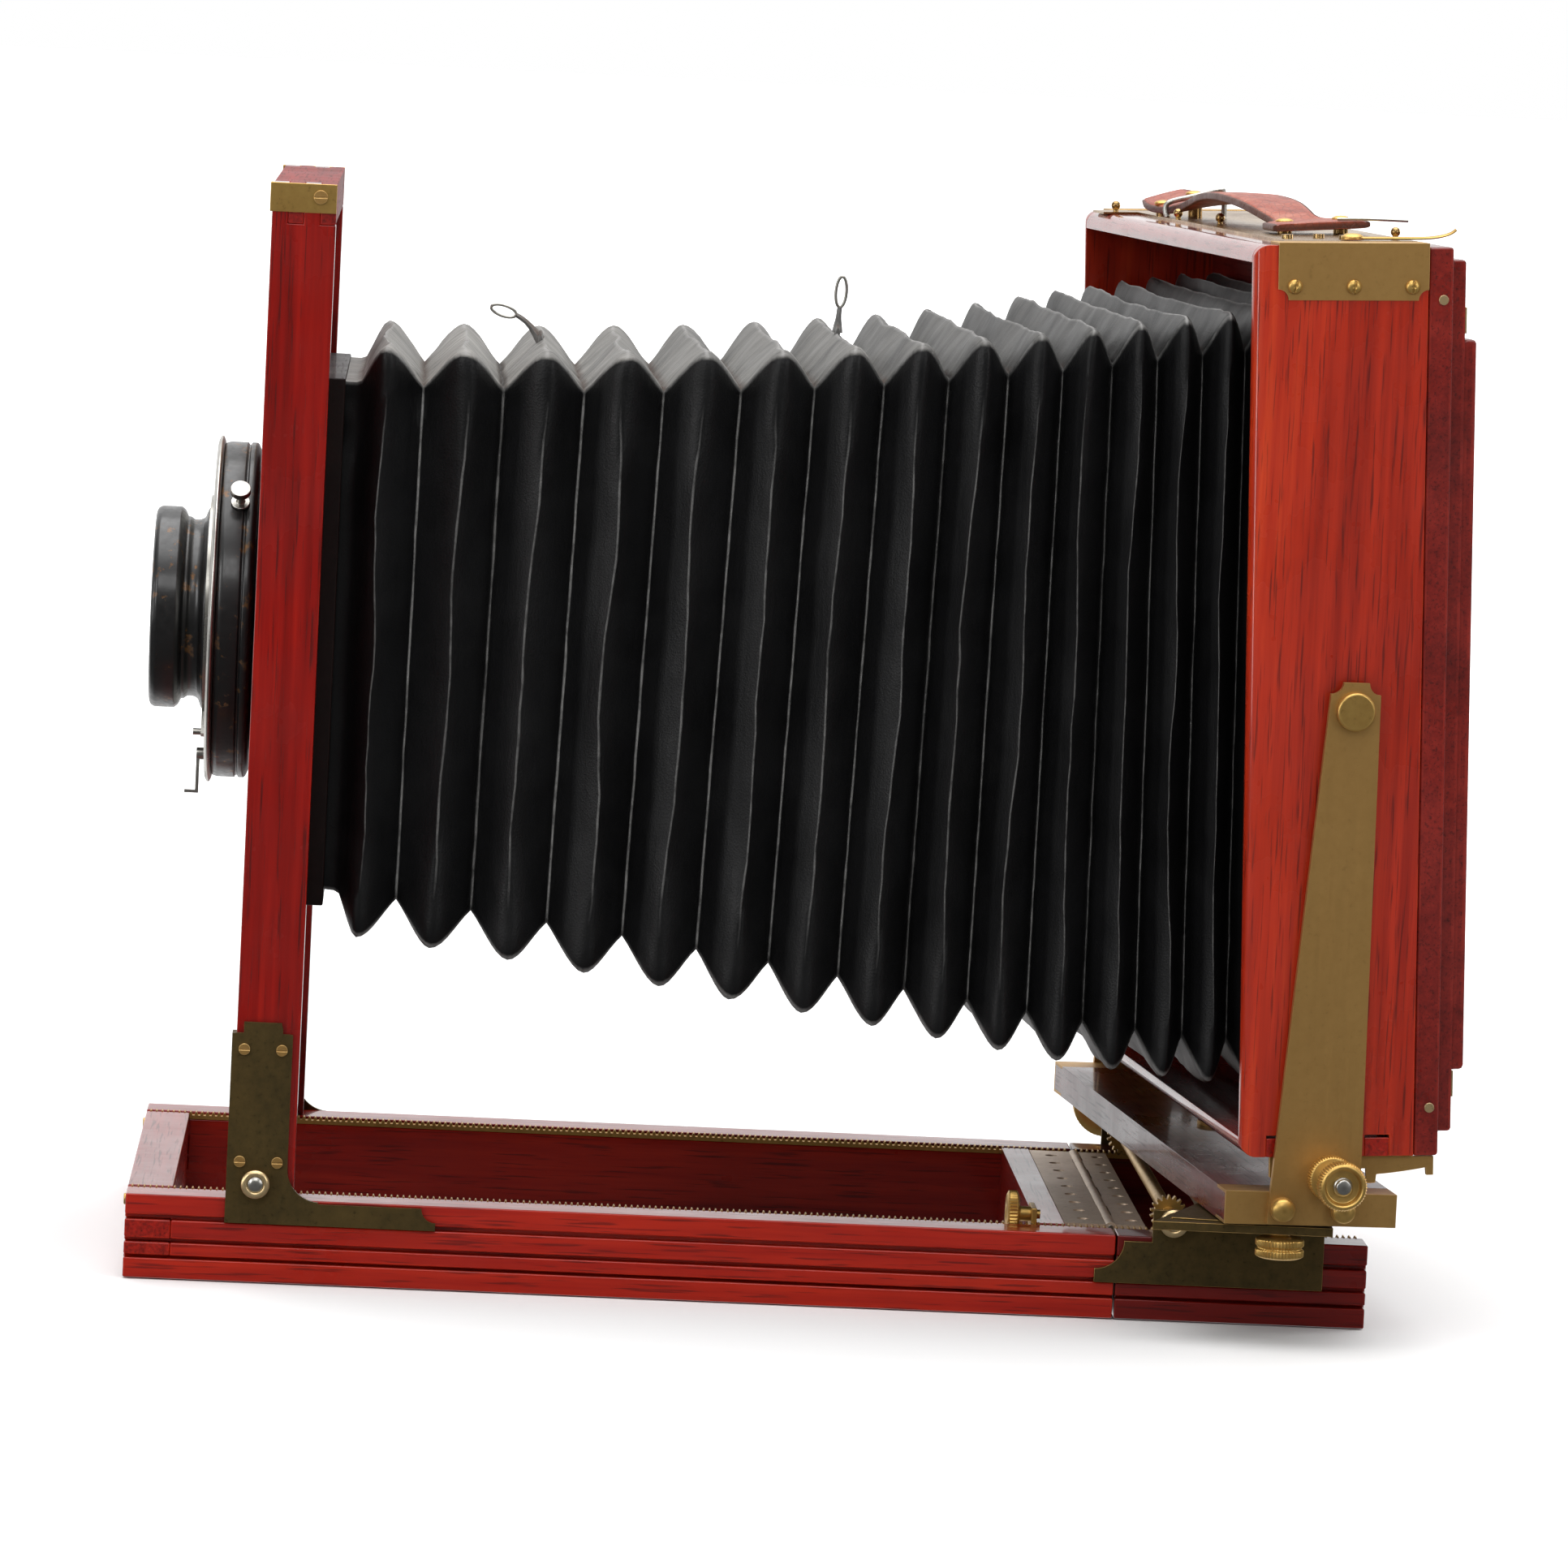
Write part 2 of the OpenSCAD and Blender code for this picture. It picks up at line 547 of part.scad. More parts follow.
// Posts of the handle, each [x, y]
strap_posts = [[76, -8], [76, 12], [-83, -21], [-83, -9]];
module case_top_fittings() color(brass) tilted() {
    box([-146, -22, case_high], [146, 24, fittings_z]);
    box([-150, case_front + 1, case_high], [-128, -22, fittings_z]);
    for (at = [[-135, -29], [-56, -20.5], [-10, -14], [120, 22]]) translate([at[0], at[1], fittings_z]) {
        cylinder(h = 1.6, r = 1);
        translate([0, 0, 2.2]) sphere(r = 1.7, $fn = 24);
    }
    for (at = [[125, -17], [120, -5], [130, 2]])
        translate([at[0], at[1], fittings_z]) cylinder(h = 1.4, r = 2);
    for (at = strap_posts) translate([at[0], at[1], fittings_z]) cylinder(h = strap_t + 1, r = 2.6);
}
module tilt_quadrants() color(brass) tilted() pair() side_profile(161, 2) difference() {
    polygon(concat([[31.7, case_low - 0.4], [case_back, case_low - 0.4], [case_back, case_low],
                    [-25.7, case_low], [-25.7, -160.8]],
        arc_points(tilt_r + 3.3, 261.9, 274, 8), arc_points(tilt_r + 0.4, 274.2, 280.4, 6),
        [[29.2, -160.6], [31.7, -160.6]]));
    arc_slot(tilt_r, 1.9, 262.1, 272.9);
}
strap_half = 66;
strap_r = (strap_half * strap_half + strap_rise * strap_rise) / (2 * strap_rise);
strap_a = asin(strap_half / strap_r);
module handle_strap() color(hide) tilted() translate([0, 0, fittings_z]) difference() {
    union() {
        front_profile(-17, 24) intersection() {
            translate([0, strap_rise - strap_r])
                polygon(concat(arc_points(strap_r, 90 + strap_a, 90 - strap_a, 20),
                               arc_points(strap_r - strap_t, 90 - strap_a, 90 + strap_a, 20)));
            translate([-strap_half - 1, 0]) square([2 * strap_half + 2, strap_rise + 1]);
        }
        box([60, -15, 0], [90, 19.5, strap_t]);
        box([-104, -26, 0], [-60, -4, strap_t]);
    }
    for (at = strap_posts) translate([at[0], at[1], -1]) cylinder(h = 6, r = 2.6);
}
module bellows_rear_frame() color(dark_wood) tilted()
    ring_frame(12.6, 6, [case_w / 2 - board, (case_high - case_low) / 2 - board], [117, 117], case_mid);

// ---- back ----
// Faces of the back's two steps and of the ground-glass frame, along the camera
step_y = [case_back + 0.2, case_back + 8.8, case_back + 14];
frame_y = case_back + 14.3;
frame_mid = 0.7;
module back_frame() color(mahogany) tilted() {
    ring_frame(step_y[0], step_y[1] - step_y[0], [case_w / 2 - 0.5, 155.8],
        [glass_w / 2 - 6, glass_h / 2 - 6], 2.1);
    ring_frame(step_y[1], step_y[2] - step_y[1], [160, 149.7], [glass_w / 2 + 6, glass_h / 2 + 10], 3.8);
}
module back_springs() color(brass) tilted() {
    for (z = [-135, 128]) {
        box([-146, step_y[2], z], [146, step_y[2] + 0.9, z + 8]);
        pair() box([146, step_y[2], z], [152, step_y[2] + 2.4, z + 9]);
    }
    pair() for (z = [-137, 140]) rod_x([case_w / 2 - 0.5, case_back + 5.3, z], 0.8, 1.7);
}
module ground_glass_frame() color(mahogany) tilted()
    ring_frame(frame_y, 4.2, [158, 125.6], [glass_w / 2 - 8, glass_h / 2 - 8], frame_mid);
module ground_glass() color("lightgray") tilted()
    box([-glass_w / 2 + 8, frame_y + 1.1, frame_mid + 8 - glass_h / 2],
        [glass_w / 2 - 8, frame_y + 3.1, frame_mid - 8 + glass_h / 2]);
module back_latch() color(brass) tilted() {
    translate([143, 2, case_high + 1.1]) cylinder(h = 1.8, r = 4);
    box([140.5, 2, case_high + 1.1], [145.5, case_back + 10, case_high + 2.3]);
    box([140.5, case_back + 8.8, case_high + 2.3], [145.5, case_back + 10, case_high + 4.5]);
}

bed_rails();
bed_front_crosspiece();
bed_rear_crosspiece();
bed_hinge_leaves();
bed_hinge_pin();
rear_bed_rails();
rear_bed_board();
tripod_bush();
focus_racks();
bed_fittings();
bed_lock_knob();
front_posts();
front_top_rail();
front_bottom_rail();
front_brackets();
front_corner_straps();
front_screws();
front_pinion();
front_focus_knob();
lens_panel();
lensboard();
lensboard_slider();
shutter_body();
shutter_front_ring();
front_barrel();
rear_barrel();
lens_glasses();
cocking_lever();
aperture_lever();
release_lever();
bellows_front_frame();
bellows_section_1();
bellows_section_2();
bellows_section_3();
bellows_section_4();
bellows_section_5();
carriage_plates();
carriage_crossplate();
rear_pinion();
rear_focus_knob();
swing_board();
swing_board_caps();
swing_clamp_knob();
tilt_arms();
tilt_pivot_screws();
tilt_knob_right();
tilt_knob_left();
case_top();
case_bottom();
case_sides();
case_corner_plates();
case_top_fittings();
tilt_quadrants();
handle_strap();
bellows_rear_frame();
back_frame();
back_springs();
ground_glass_frame();
ground_glass();
back_latch();
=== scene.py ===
import json
from math import cos, floor, pi, radians, sin

import bmesh
import bpy
from mathutils import Matrix, Vector, noise
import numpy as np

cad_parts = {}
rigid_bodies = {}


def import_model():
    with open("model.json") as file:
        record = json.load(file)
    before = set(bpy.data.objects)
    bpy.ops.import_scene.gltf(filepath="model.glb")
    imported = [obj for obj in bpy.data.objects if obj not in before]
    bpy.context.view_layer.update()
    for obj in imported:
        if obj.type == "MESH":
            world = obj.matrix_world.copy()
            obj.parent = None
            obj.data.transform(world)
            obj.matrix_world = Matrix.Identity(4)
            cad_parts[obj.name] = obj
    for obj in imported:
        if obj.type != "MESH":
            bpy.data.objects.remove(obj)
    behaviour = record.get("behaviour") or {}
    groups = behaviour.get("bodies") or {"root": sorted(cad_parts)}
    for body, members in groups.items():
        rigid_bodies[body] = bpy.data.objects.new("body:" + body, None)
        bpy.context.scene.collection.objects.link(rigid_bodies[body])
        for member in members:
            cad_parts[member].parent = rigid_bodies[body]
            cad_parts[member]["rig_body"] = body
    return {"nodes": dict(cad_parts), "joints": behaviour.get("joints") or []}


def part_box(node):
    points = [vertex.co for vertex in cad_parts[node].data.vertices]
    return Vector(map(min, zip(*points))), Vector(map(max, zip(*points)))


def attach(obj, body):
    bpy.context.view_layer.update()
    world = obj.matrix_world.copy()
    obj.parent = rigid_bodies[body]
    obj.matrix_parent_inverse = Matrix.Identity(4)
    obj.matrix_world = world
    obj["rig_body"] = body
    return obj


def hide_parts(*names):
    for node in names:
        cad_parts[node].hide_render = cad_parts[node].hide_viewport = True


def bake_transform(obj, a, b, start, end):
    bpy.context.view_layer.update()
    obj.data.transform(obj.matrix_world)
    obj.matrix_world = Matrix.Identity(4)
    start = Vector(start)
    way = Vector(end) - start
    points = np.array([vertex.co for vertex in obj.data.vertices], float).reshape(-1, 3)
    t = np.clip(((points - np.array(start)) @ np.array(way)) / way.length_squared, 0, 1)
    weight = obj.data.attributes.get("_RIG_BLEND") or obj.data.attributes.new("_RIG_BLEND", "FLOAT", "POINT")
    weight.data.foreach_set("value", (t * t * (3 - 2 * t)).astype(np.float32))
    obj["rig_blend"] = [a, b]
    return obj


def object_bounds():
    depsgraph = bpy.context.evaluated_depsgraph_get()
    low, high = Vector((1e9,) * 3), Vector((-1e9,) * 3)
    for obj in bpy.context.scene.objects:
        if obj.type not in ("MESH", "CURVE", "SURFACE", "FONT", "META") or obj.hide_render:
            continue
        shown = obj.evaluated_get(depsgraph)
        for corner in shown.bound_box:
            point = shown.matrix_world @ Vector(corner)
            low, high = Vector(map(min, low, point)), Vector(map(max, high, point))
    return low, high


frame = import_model()
cad_low, cad_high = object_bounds()
MM = 0.001
NODES = frame["nodes"]
JOINTS = {j["name"]: j for j in frame["joints"]}


# ---- camera: the photograph's place and angle ----
# Place in metres, angles in radians, lens in millimetres on a 36 mm sensor
CAMERA_AT = Vector((3.0964, -0.28657, 0.46457))
CAMERA_AZ, CAMERA_EL, CAMERA_ROLL = 0.0439863, 0.0945654, 0.0488595
CAMERA_LENS, CAMERA_SENSOR, CAMERA_REACH = 198.85, 36, 100


def make_camera():
    look = Vector((-cos(CAMERA_EL) * cos(CAMERA_AZ), cos(CAMERA_EL) * sin(CAMERA_AZ), -sin(CAMERA_EL)))
    right = look.cross(Vector((0, 0, 1))).normalized()
    up = right.cross(look)
    side = right * cos(CAMERA_ROLL) + up * sin(CAMERA_ROLL)
    top = up * cos(CAMERA_ROLL) - right * sin(CAMERA_ROLL)
    data = bpy.data.cameras.new("camera")
    data.lens, data.sensor_width, data.clip_end = CAMERA_LENS, CAMERA_SENSOR, CAMERA_REACH
    camera = bpy.data.objects.new("camera", data)
    bpy.context.scene.collection.objects.link(camera)
    camera.matrix_world = Matrix.Translation(CAMERA_AT) @ Matrix((side, top, -look)).transposed().to_4x4()
    bpy.context.scene.camera = camera


make_camera()


# ---- places that several pieces share, in millimetres ----
def middle(node):
    """The middle of a node's box."""
    low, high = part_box(node)
    return (low + high) / 2 / MM


def joint_place(name):
    return Vector(JOINTS[name]["pos_m"]) / MM


SWING_DEG, TILT_DEG = 6, 2.2
SWING_TURN = Matrix.Rotation(radians(SWING_DEG), 4, "Z")
SWUNG = Matrix.Translation(joint_place("rear_swing").to_2d().to_3d()) @ SWING_TURN
TILT_TURN = Matrix.Rotation(radians(TILT_DEG), 4, "X")
TILTED = Matrix.Translation(joint_place("rear_tilt")) @ SWING_TURN @ TILT_TURN
# Height of the case's top above the tilt pivot, and the frame that lies on it
CASE_TOP = 158.4
ON_CASE = TILTED @ Matrix.Translation((0, 0, CASE_TOP))
LENS_AT = Vector((0, 0, middle("shutter_front_ring").z))


# ---- materials ----
def linear(red, green, blue):
    """Colour of a shader from the 0 to 255 values it looks like, by the sRGB curve."""
    shares = (red / 255, green / 255, blue / 255)
    return tuple(c / 12.92 if c <= 0.04045 else ((c + 0.055) / 1.055) ** 2.4 for c in shares) + (1,)


def add_node(tree, kind, inputs=(), **settings):
    """A node with its settings, and with its inputs set or linked."""
    made = tree.nodes.new(kind)
    for key, value in settings.items():
        setattr(made, key, value)
    for key, value in dict(inputs).items():
        if isinstance(value, bpy.types.NodeSocket):
            tree.links.new(value, made.inputs[key])
        else:
            made.inputs[key].default_value = value
    return made


class Shader:
    """A material and short calls for its nodes."""

    def __init__(self, name, **sockets):
        self.material = bpy.data.materials.new(name)
        self.material.use_nodes = True
        self.tree = self.material.node_tree
        self.surface = self.tree.nodes["Principled BSDF"]
        self.place = self.add("ShaderNodeTexCoord")
        for key, value in sockets.items():
            self.surface.inputs[key.replace("_", " ")].default_value = value

    def add(self, kind, inputs=(), **settings):
        return add_node(self.tree, kind, inputs, **settings)

    def drive(self, socket, value):
        self.tree.links.new(value, self.surface.inputs[socket])

    def calc(self, operation, a, b=0.0, clamp=False):
        return self.add("ShaderNodeMath", {0: a, 1: b}, operation=operation, use_clamp=clamp).outputs[0]

    def times(self, a, b, clamp=False):
        return self.calc("MULTIPLY", a, b, clamp)

    def plus(self, a, b, clamp=False):
        return self.calc("ADD", a, b, clamp)

    def stretched(self, scale, turn=0):
        """Place on the object, scaled by axis, with the grain turned about Z by some degrees."""
        vector = self.place.outputs["Object"]
        if turn:
            vector = self.add(
                "ShaderNodeVectorRotate", {"Vector": vector, "Angle": radians(-turn)}, rotation_type="Z_AXIS"
            ).outputs[0]
        return self.add("ShaderNodeVectorMath", {0: vector, 1: scale}, operation="MULTIPLY").outputs[0]

    def noise(self, vector, scale=1.0, detail=3.0, rough=0.5, distort=0.0):
        return self.add(
            "ShaderNodeTexNoise",
            {"Vector": vector, "Scale": scale, "Detail": detail, "Roughness": rough, "Distortion": distort},
        ).outputs["Fac"]

    def cells(self, vector, scale, feature="F1"):
        made = self.add("ShaderNodeTexVoronoi", {"Vector": vector, "Scale": scale}, feature=feature)
        return made.outputs["Distance"]

    def ramp(self, value, *stops):
        made = self.add("ShaderNodeValToRGB", {"Fac": value})
        line = made.color_ramp
        while len(line.elements) < len(stops):
            line.elements.new(1)
        for element, (place, colour) in zip(line.elements, stops):
            element.position = place
            element.color = colour if hasattr(colour, "__len__") else (colour,) * 3 + (1,)
        return made.outputs["Color"]

    def mix(self, share, a, b):
        return self.add("ShaderNodeMix", {0: share, 6: a, 7: b}, data_type="RGBA").outputs[2]

    def attribute(self, name):
        return self.add("ShaderNodeAttribute", attribute_name=name).outputs["Fac"]

    def axis_share(self, axis):
        """How far the surface faces along an axis, 0 to 1, before the object moved."""
        parts = self.add("ShaderNodeSeparateXYZ", {0: self.place.outputs["Normal"]})
        return self.calc("ABSOLUTE", parts.outputs[axis])

    def faces_up(self):
        return self.add("ShaderNodeSeparateXYZ", {0: self.place.outputs["Normal"]}).outputs[2]

    def bump(self, height, strength, distance):
        made = self.add("ShaderNodeBump", {"Height": height, "Strength": strength, "Distance": distance})
        self.drive("Normal", made.outputs[0])


def wood(name, grain, pale, mid, deep, turn=0, rough=0.3, coat=0.6, end=0.45):
    """Polished mahogany: broad figure, fine streaks, short dark pores, darker end grain and rubbed edges."""
    s = Shader(name, Coat_Weight=coat, Coat_Roughness=0.07, Coat_IOR=1.45, Specular_IOR_Level=0.16)
    along = "XYZ".index(grain)
    here = s.place.outputs["Object"]

    def scaled(across, lengthwise):
        scale = [across] * 3
        scale[along] = lengthwise
        return s.stretched(scale, turn)

    figured = s.noise(scaled(26, 2.2), detail=5, rough=0.6, distort=0.6)
    streaks = s.noise(scaled(320, 9), detail=4, rough=0.62)
    ribbon = s.noise(scaled(60, 16), detail=2, rough=0.5, distort=0.3)
    pores = s.noise(scaled(1100, 40), detail=2, rough=0.5)
    tone = s.plus(s.times(figured, 0.55), s.times(streaks, 0.45))
    colour = s.ramp(tone, (0.28, deep), (0.5, mid), (0.72, pale))
    colour = s.mix(s.times(s.ramp(ribbon, (0.45, 0.0), (0.7, 1.0)), 0.16), colour, deep)
    pore_mask = s.ramp(pores, (0.33, 1.0), (0.43, 0.0))
    colour = s.mix(s.times(pore_mask, 0.55), colour, linear(30, 6, 5))
    end_share = s.ramp(s.axis_share(along), (0.75, 0.0), (0.9, 1.0))
    speckle = s.noise(here, 900, 2)
    end_colour = s.ramp(speckle, (0.35, linear(24, 5, 4)), (0.65, mid))
    colour = s.mix(s.times(end_share, end), colour, end_colour)
    rub_marks = s.noise(here, 70, 3)
    worn = s.times(s.attribute("edge"), s.ramp(rub_marks, (0.4, 0.05), (0.66, 0.5)))
    colour = s.mix(worn, colour, pale)
    s.drive("Base Color", colour)
    smear = s.noise(here, 24, 4, 0.65)
    dulled = s.plus(smear, s.times(pore_mask, 0.2))
    s.drive("Roughness", s.ramp(dulled, (0.3, rough - 0.06), (0.75, rough + 0.16)))
    height = s.plus(s.times(pore_mask, -0.7), s.times(streaks, 0.25))
    s.bump(height, 0.22, 0.0002)
    return s.material


def metal(
    name, clean, dull, dirt, rough=0.3, tarnish=0.5, brushed=None, edge=0.8, spots=0.3, cloud_depth=0.3,
    metallic=1.0, rub=None,
):
    """Old lacquered metal: cloudy tarnish, fine scratches, dark spots and edges rubbed bright."""
    s = Shader(name, Metallic=metallic)
    here = s.place.outputs["Object"]
    cloud = s.noise(here, 24, 5, 0.62, 0.4)
    fine = s.noise(here, 260, 4, 0.6)
    mottle = s.plus(s.times(cloud, 0.6), s.times(fine, 0.4))
    share = s.ramp(mottle, (0.3, max(0.0, tarnish - cloud_depth)), (0.7, min(1.0, tarnish + cloud_depth)))
    colour = s.mix(share, clean, dull)
    fleck = s.ramp(s.noise(here, 520, 3, 0.6), (0.62, 0.0), (0.72, 1.0))
    colour = s.mix(s.times(fleck, spots), colour, dirt)
    rubbed = s.times(s.attribute("edge"), s.ramp(s.noise(here, 120, 2), (0.35, edge * 0.4), (0.6, edge)))
    colour = s.mix(rubbed, colour, rub or clean)
    s.drive("Base Color", colour)
    if brushed:
        scratches = s.noise(s.stretched(brushed), detail=3, rough=0.7)
    else:
        scratches = s.noise(here, 900, 3, 0.7)
    rougher = s.plus(s.times(share, 0.16), s.times(scratches, 0.18))
    s.drive("Roughness", s.plus(rougher, rough - 0.08, True))
    s.bump(s.plus(s.times(scratches, 0.5), s.times(fleck, -0.4)), 0.10, 0.0002)
    return s.material


# Pale, middle and deep tones of each stock
CASE_RED = (linear(184, 62, 24), linear(156, 38, 16), linear(116, 22, 11))
POST_RED = (linear(150, 24, 10), linear(118, 12, 6), linear(72, 8, 5))
RAIL_RED = (linear(174, 38, 14), linear(144, 22, 9), linear(96, 12, 6))
DARK_RED = (linear(118, 20, 12), linear(90, 12, 8), linear(48, 7, 5))
BACK_RED = (linear(134, 36, 26), linear(106, 24, 18), linear(68, 14, 11))
EBONISED = (linear(34, 17, 14), linear(22, 12, 10), linear(12, 8, 7))
MATERIALS = {
    "rail_wood": wood("rail_wood", "Y", *RAIL_RED),
    "rail_cross_wood": wood("rail_cross_wood", "X", *RAIL_RED),
    "rear_bed_wood": wood("rear_bed_wood", "Y", *DARK_RED),
    "post_wood": wood("post_wood", "Z", *POST_RED, rough=0.2),
    "standard_wood": wood("standard_wood", "X", *POST_RED, rough=0.55, coat=0.12),
    "panel_wood": wood("panel_wood", "Z", *RAIL_RED),
    "lensboard_wood": wood("lensboard_wood", "Z", *DARK_RED),
    "swing_wood": wood("swing_wood", "X", *DARK_RED, turn=SWING_DEG, rough=0.26, coat=0.4),
    "case_wood": wood("case_wood", "Z", *CASE_RED, rough=0.26, coat=0.8),
    "case_lid_wood": wood("case_lid_wood", "X", *RAIL_RED, turn=SWING_DEG, rough=0.22, coat=1.0),
    "back_wood": wood("back_wood", "X", *BACK_RED, turn=SWING_DEG, end=0.2),
    "frame_wood": wood("frame_wood", "X", *DARK_RED, turn=SWING_DEG, rough=0.34, coat=0.4),
    "black_wood": wood("black_wood", "X", *EBONISED, rough=0.45, coat=0.1),
    "brass": metal("brass", linear(226, 186, 108), linear(160, 122, 62), linear(52, 38, 20), metallic=0.9),
    "satin_brass": metal(
        "satin_brass", linear(204, 162, 98), linear(164, 126, 70), linear(78, 56, 32), rough=0.36,
        tarnish=0.5, brushed=(900, 900, 30), metallic=0.84, spots=0.12, cloud_depth=0.2,
        rub=linear(238, 202, 134),
    ),
    "patina_brass": metal(
        "patina_brass", linear(140, 114, 66), linear(72, 62, 38), linear(30, 26, 15), rough=0.38,
        tarnish=0.75, spots=0.4, cloud_depth=0.3, metallic=0.85, edge=1.0, rub=linear(236, 192, 116),
    ),
    "bright_brass": metal(
        "bright_brass", linear(238, 210, 160), linear(196, 160, 108), linear(80, 58, 36), rough=0.26,
        tarnish=0.3, metallic=0.9,
    ),
    "top_brass": metal(
        "top_brass", linear(206, 172, 116), linear(110, 78, 42), linear(40, 24, 14), rough=0.16, tarnish=0.55,
        cloud_depth=0.45, spots=0.5,
    ),
    "hinge_brass": metal(
        "hinge_brass", linear(232, 212, 190), linear(190, 166, 142), linear(84, 66, 50), rough=0.4,
        tarnish=0.4, metallic=0.6,
    ),
    "nickel": metal("nickel", linear(214, 212, 206), linear(150, 146, 138), linear(70, 62, 52), rough=0.22),
}


def enamel_material():
    """Black stoving enamel, rubbed to brown brass along its rims."""
    s = Shader("enamel", Coat_Weight=0.5, Coat_Roughness=0.18)
    here = s.place.outputs["Object"]
    chips = s.noise(here, 160, 4, 0.65)
    chipped = s.ramp(chips, (0.6, 0.0), (0.68, 0.8))
    worn = s.times(chipped, s.ramp(s.attribute("edge"), (0.5, 0.0), (1.0, 1.0)), True)
    black = s.ramp(s.noise(here, 34, 4, 0.6), (0.35, linear(9, 9, 10)), (0.75, linear(22, 21, 21)))
    colour = s.mix(worn, black, linear(120, 84, 48))
    s.drive("Base Color", colour)
    s.drive("Metallic", s.times(worn, 0.9))
    s.drive("Roughness", s.ramp(s.noise(here, 420, 3), (0.3, 0.3), (0.7, 0.5)))
    s.bump(s.plus(s.times(worn, -0.6), s.times(s.noise(here, 1500, 2), 0.12)), 0.2, 0.0003)
    return s.material


def bellows_material():
    """Folded black leather: dust and a painted sheen on the faces turned up, painted highlight lines along
    the ridges, and thin grey lines along the valleys and corners.
    """
    s = Shader("bellows_leather", Specular_IOR_Level=0.3)
    here = s.place.outputs["Object"]
    fold = s.attribute("fold")
    wobble = s.times(s.calc("SUBTRACT", s.noise(here, 70, 3, 0.5), 0.5), 0.03)
    near = s.plus(fold, wobble)
    up = s.ramp(s.faces_up(), (0.25, 0.0), (0.6, 1.0))
    aside = s.calc("SUBTRACT", 1.0, up)
    broken = s.ramp(s.noise(here, 150, 4, 0.65), (0.34, 0.4), (0.6, 1.0))
    lateral = s.attribute("lateral")
    valley = s.times(s.times(s.ramp(near, (0.014, 0.8), (0.036, 0.0)), aside), broken)
    valley = s.times(valley, s.ramp(lateral, (0.96, 1.0), (0.99, 0.3)))
    # Painted highlight: a pale line along the crest of each ridge on the faces turned up, standing for light
    # caught by the ridge.
    ridge = s.times(s.times(s.ramp(near, (0.93, 0.0), (0.985, 0.7)), up), broken)
    # Painted sheen: a faint pale line along the ridges in the middle of the side faces.
    side_ridge_sheen = s.times(s.times(s.ramp(near, (0.965, 0.0), (0.985, 0.3)), aside), broken)
    side_ridge_sheen = s.times(side_ridge_sheen, s.ramp(lateral, (0.6, 1.0), (0.84, 0.0)))
    # The valley lines from here on also carry the painted sheen of the side ridges.
    valley = s.plus(valley, side_ridge_sheen, True)
    corner_line = s.times(s.ramp(lateral, (0.985, 0.0), (0.997, 0.4)), broken)
    streaks = s.noise(s.stretched((440, 24, 24)), detail=5, rough=0.7)
    bands = s.noise(s.stretched((150, 40, 40)), detail=3, rough=0.6)
    patches = s.noise(here, 26, 4, 0.6, 0.5)
    along = s.attribute("along")
    # Dust and painted sheen on the faces turned up: streaky pale grey that stands partly for dust and partly
    # for the bright room reflected at a grazing angle, strongest near the front and fading towards the case.
    near_case = s.ramp(along, (0.1, 1.0), (0.45, 0.42), (0.75, 0.14))
    dust_and_sheen = s.plus(s.times(streaks, 0.5), s.times(s.plus(patches, bands), 0.25))
    dust_and_sheen = s.times(s.times(s.ramp(dust_and_sheen, (0.37, 0.12), (0.64, 1.0)), up), near_case)
    base = s.ramp(patches, (0.35, linear(7, 7, 8)), (0.7, linear(15, 15, 16)))
    colour = s.mix(s.times(dust_and_sheen, 0.76), base, linear(184, 181, 175))
    crease = s.times(s.ramp(near, (0.03, 1.0), (0.14, 0.0)), s.times(up, broken))
    colour = s.mix(s.times(crease, 0.8), colour, linear(66, 44, 32))
    # Painted highlight along the ridges on top.
    colour = s.mix(ridge, colour, linear(150, 148, 146))
    colour = s.mix(s.plus(valley, corner_line, True), colour, linear(146, 145, 143))
    s.drive("Base Color", colour)
    s.drive("Roughness", s.plus(s.ramp(s.noise(here, 60, 4), (0.3, 0.4), (0.7, 0.52)), s.times(dust_and_sheen, 0.14)))
    pebbles = s.cells(here, 1300)
    wrinkles = s.noise(s.stretched((500, 90, 90)), detail=4, rough=0.6)
    s.bump(s.plus(s.times(pebbles, 0.4), s.times(wrinkles, 0.9)), 0.42, 0.0003)
    return s.material


def strap_material():
    """Tan saddle leather with a fine grain, darker dressed edges and handling marks."""
    s = Shader("strap_leather", Coat_Weight=0.15, Coat_Roughness=0.3)
    here = s.place.outputs["Object"]
    tone = s.noise(here, 48, 5, 0.65, 0.5)
    dark_tan, tan, pale_tan = linear(122, 48, 32), linear(158, 72, 50), linear(196, 124, 100)
    colour = s.ramp(tone, (0.3, dark_tan), (0.5, tan), (0.72, pale_tan))
    colour = s.mix(s.ramp(s.attribute("rim"), (0.2, 0.0), (0.85, 0.85)), colour, linear(58, 28, 14))
    cracks = s.ramp(s.cells(s.stretched((160, 420, 160)), 1.0, "DISTANCE_TO_EDGE"), (0.0, 1.0), (0.07, 0.0))
    colour = s.mix(s.times(cracks, 0.45), colour, linear(70, 36, 18))
    s.drive("Base Color", colour)
    s.drive("Roughness", s.ramp(s.noise(here, 200, 3), (0.3, 0.42), (0.7, 0.6)))
    grain = s.cells(here, 1300)
    s.bump(s.plus(s.times(grain, 0.5), s.times(cracks, -0.8)), 0.4, 0.0003)
    return s.material


def lens_glass_material():
    """Clear glass with a violet bloom and a few wiping marks."""
    s = Shader(
        "lens_glass", Transmission_Weight=1.0, IOR=1.52, Coat_Weight=0.6, Coat_Roughness=0.02,
        Coat_Tint=linear(150, 130, 235),
    )
    here = s.place.outputs["Object"]
    haze = s.noise(here, 60, 3)
    s.drive("Base Color", s.ramp(haze, (0.3, linear(232, 240, 240)), (0.7, linear(252, 254, 252))))
    s.drive("Roughness", s.ramp(s.noise(here, 300, 4), (0.45, 0.0), (0.9, 0.08)))
    return s.material


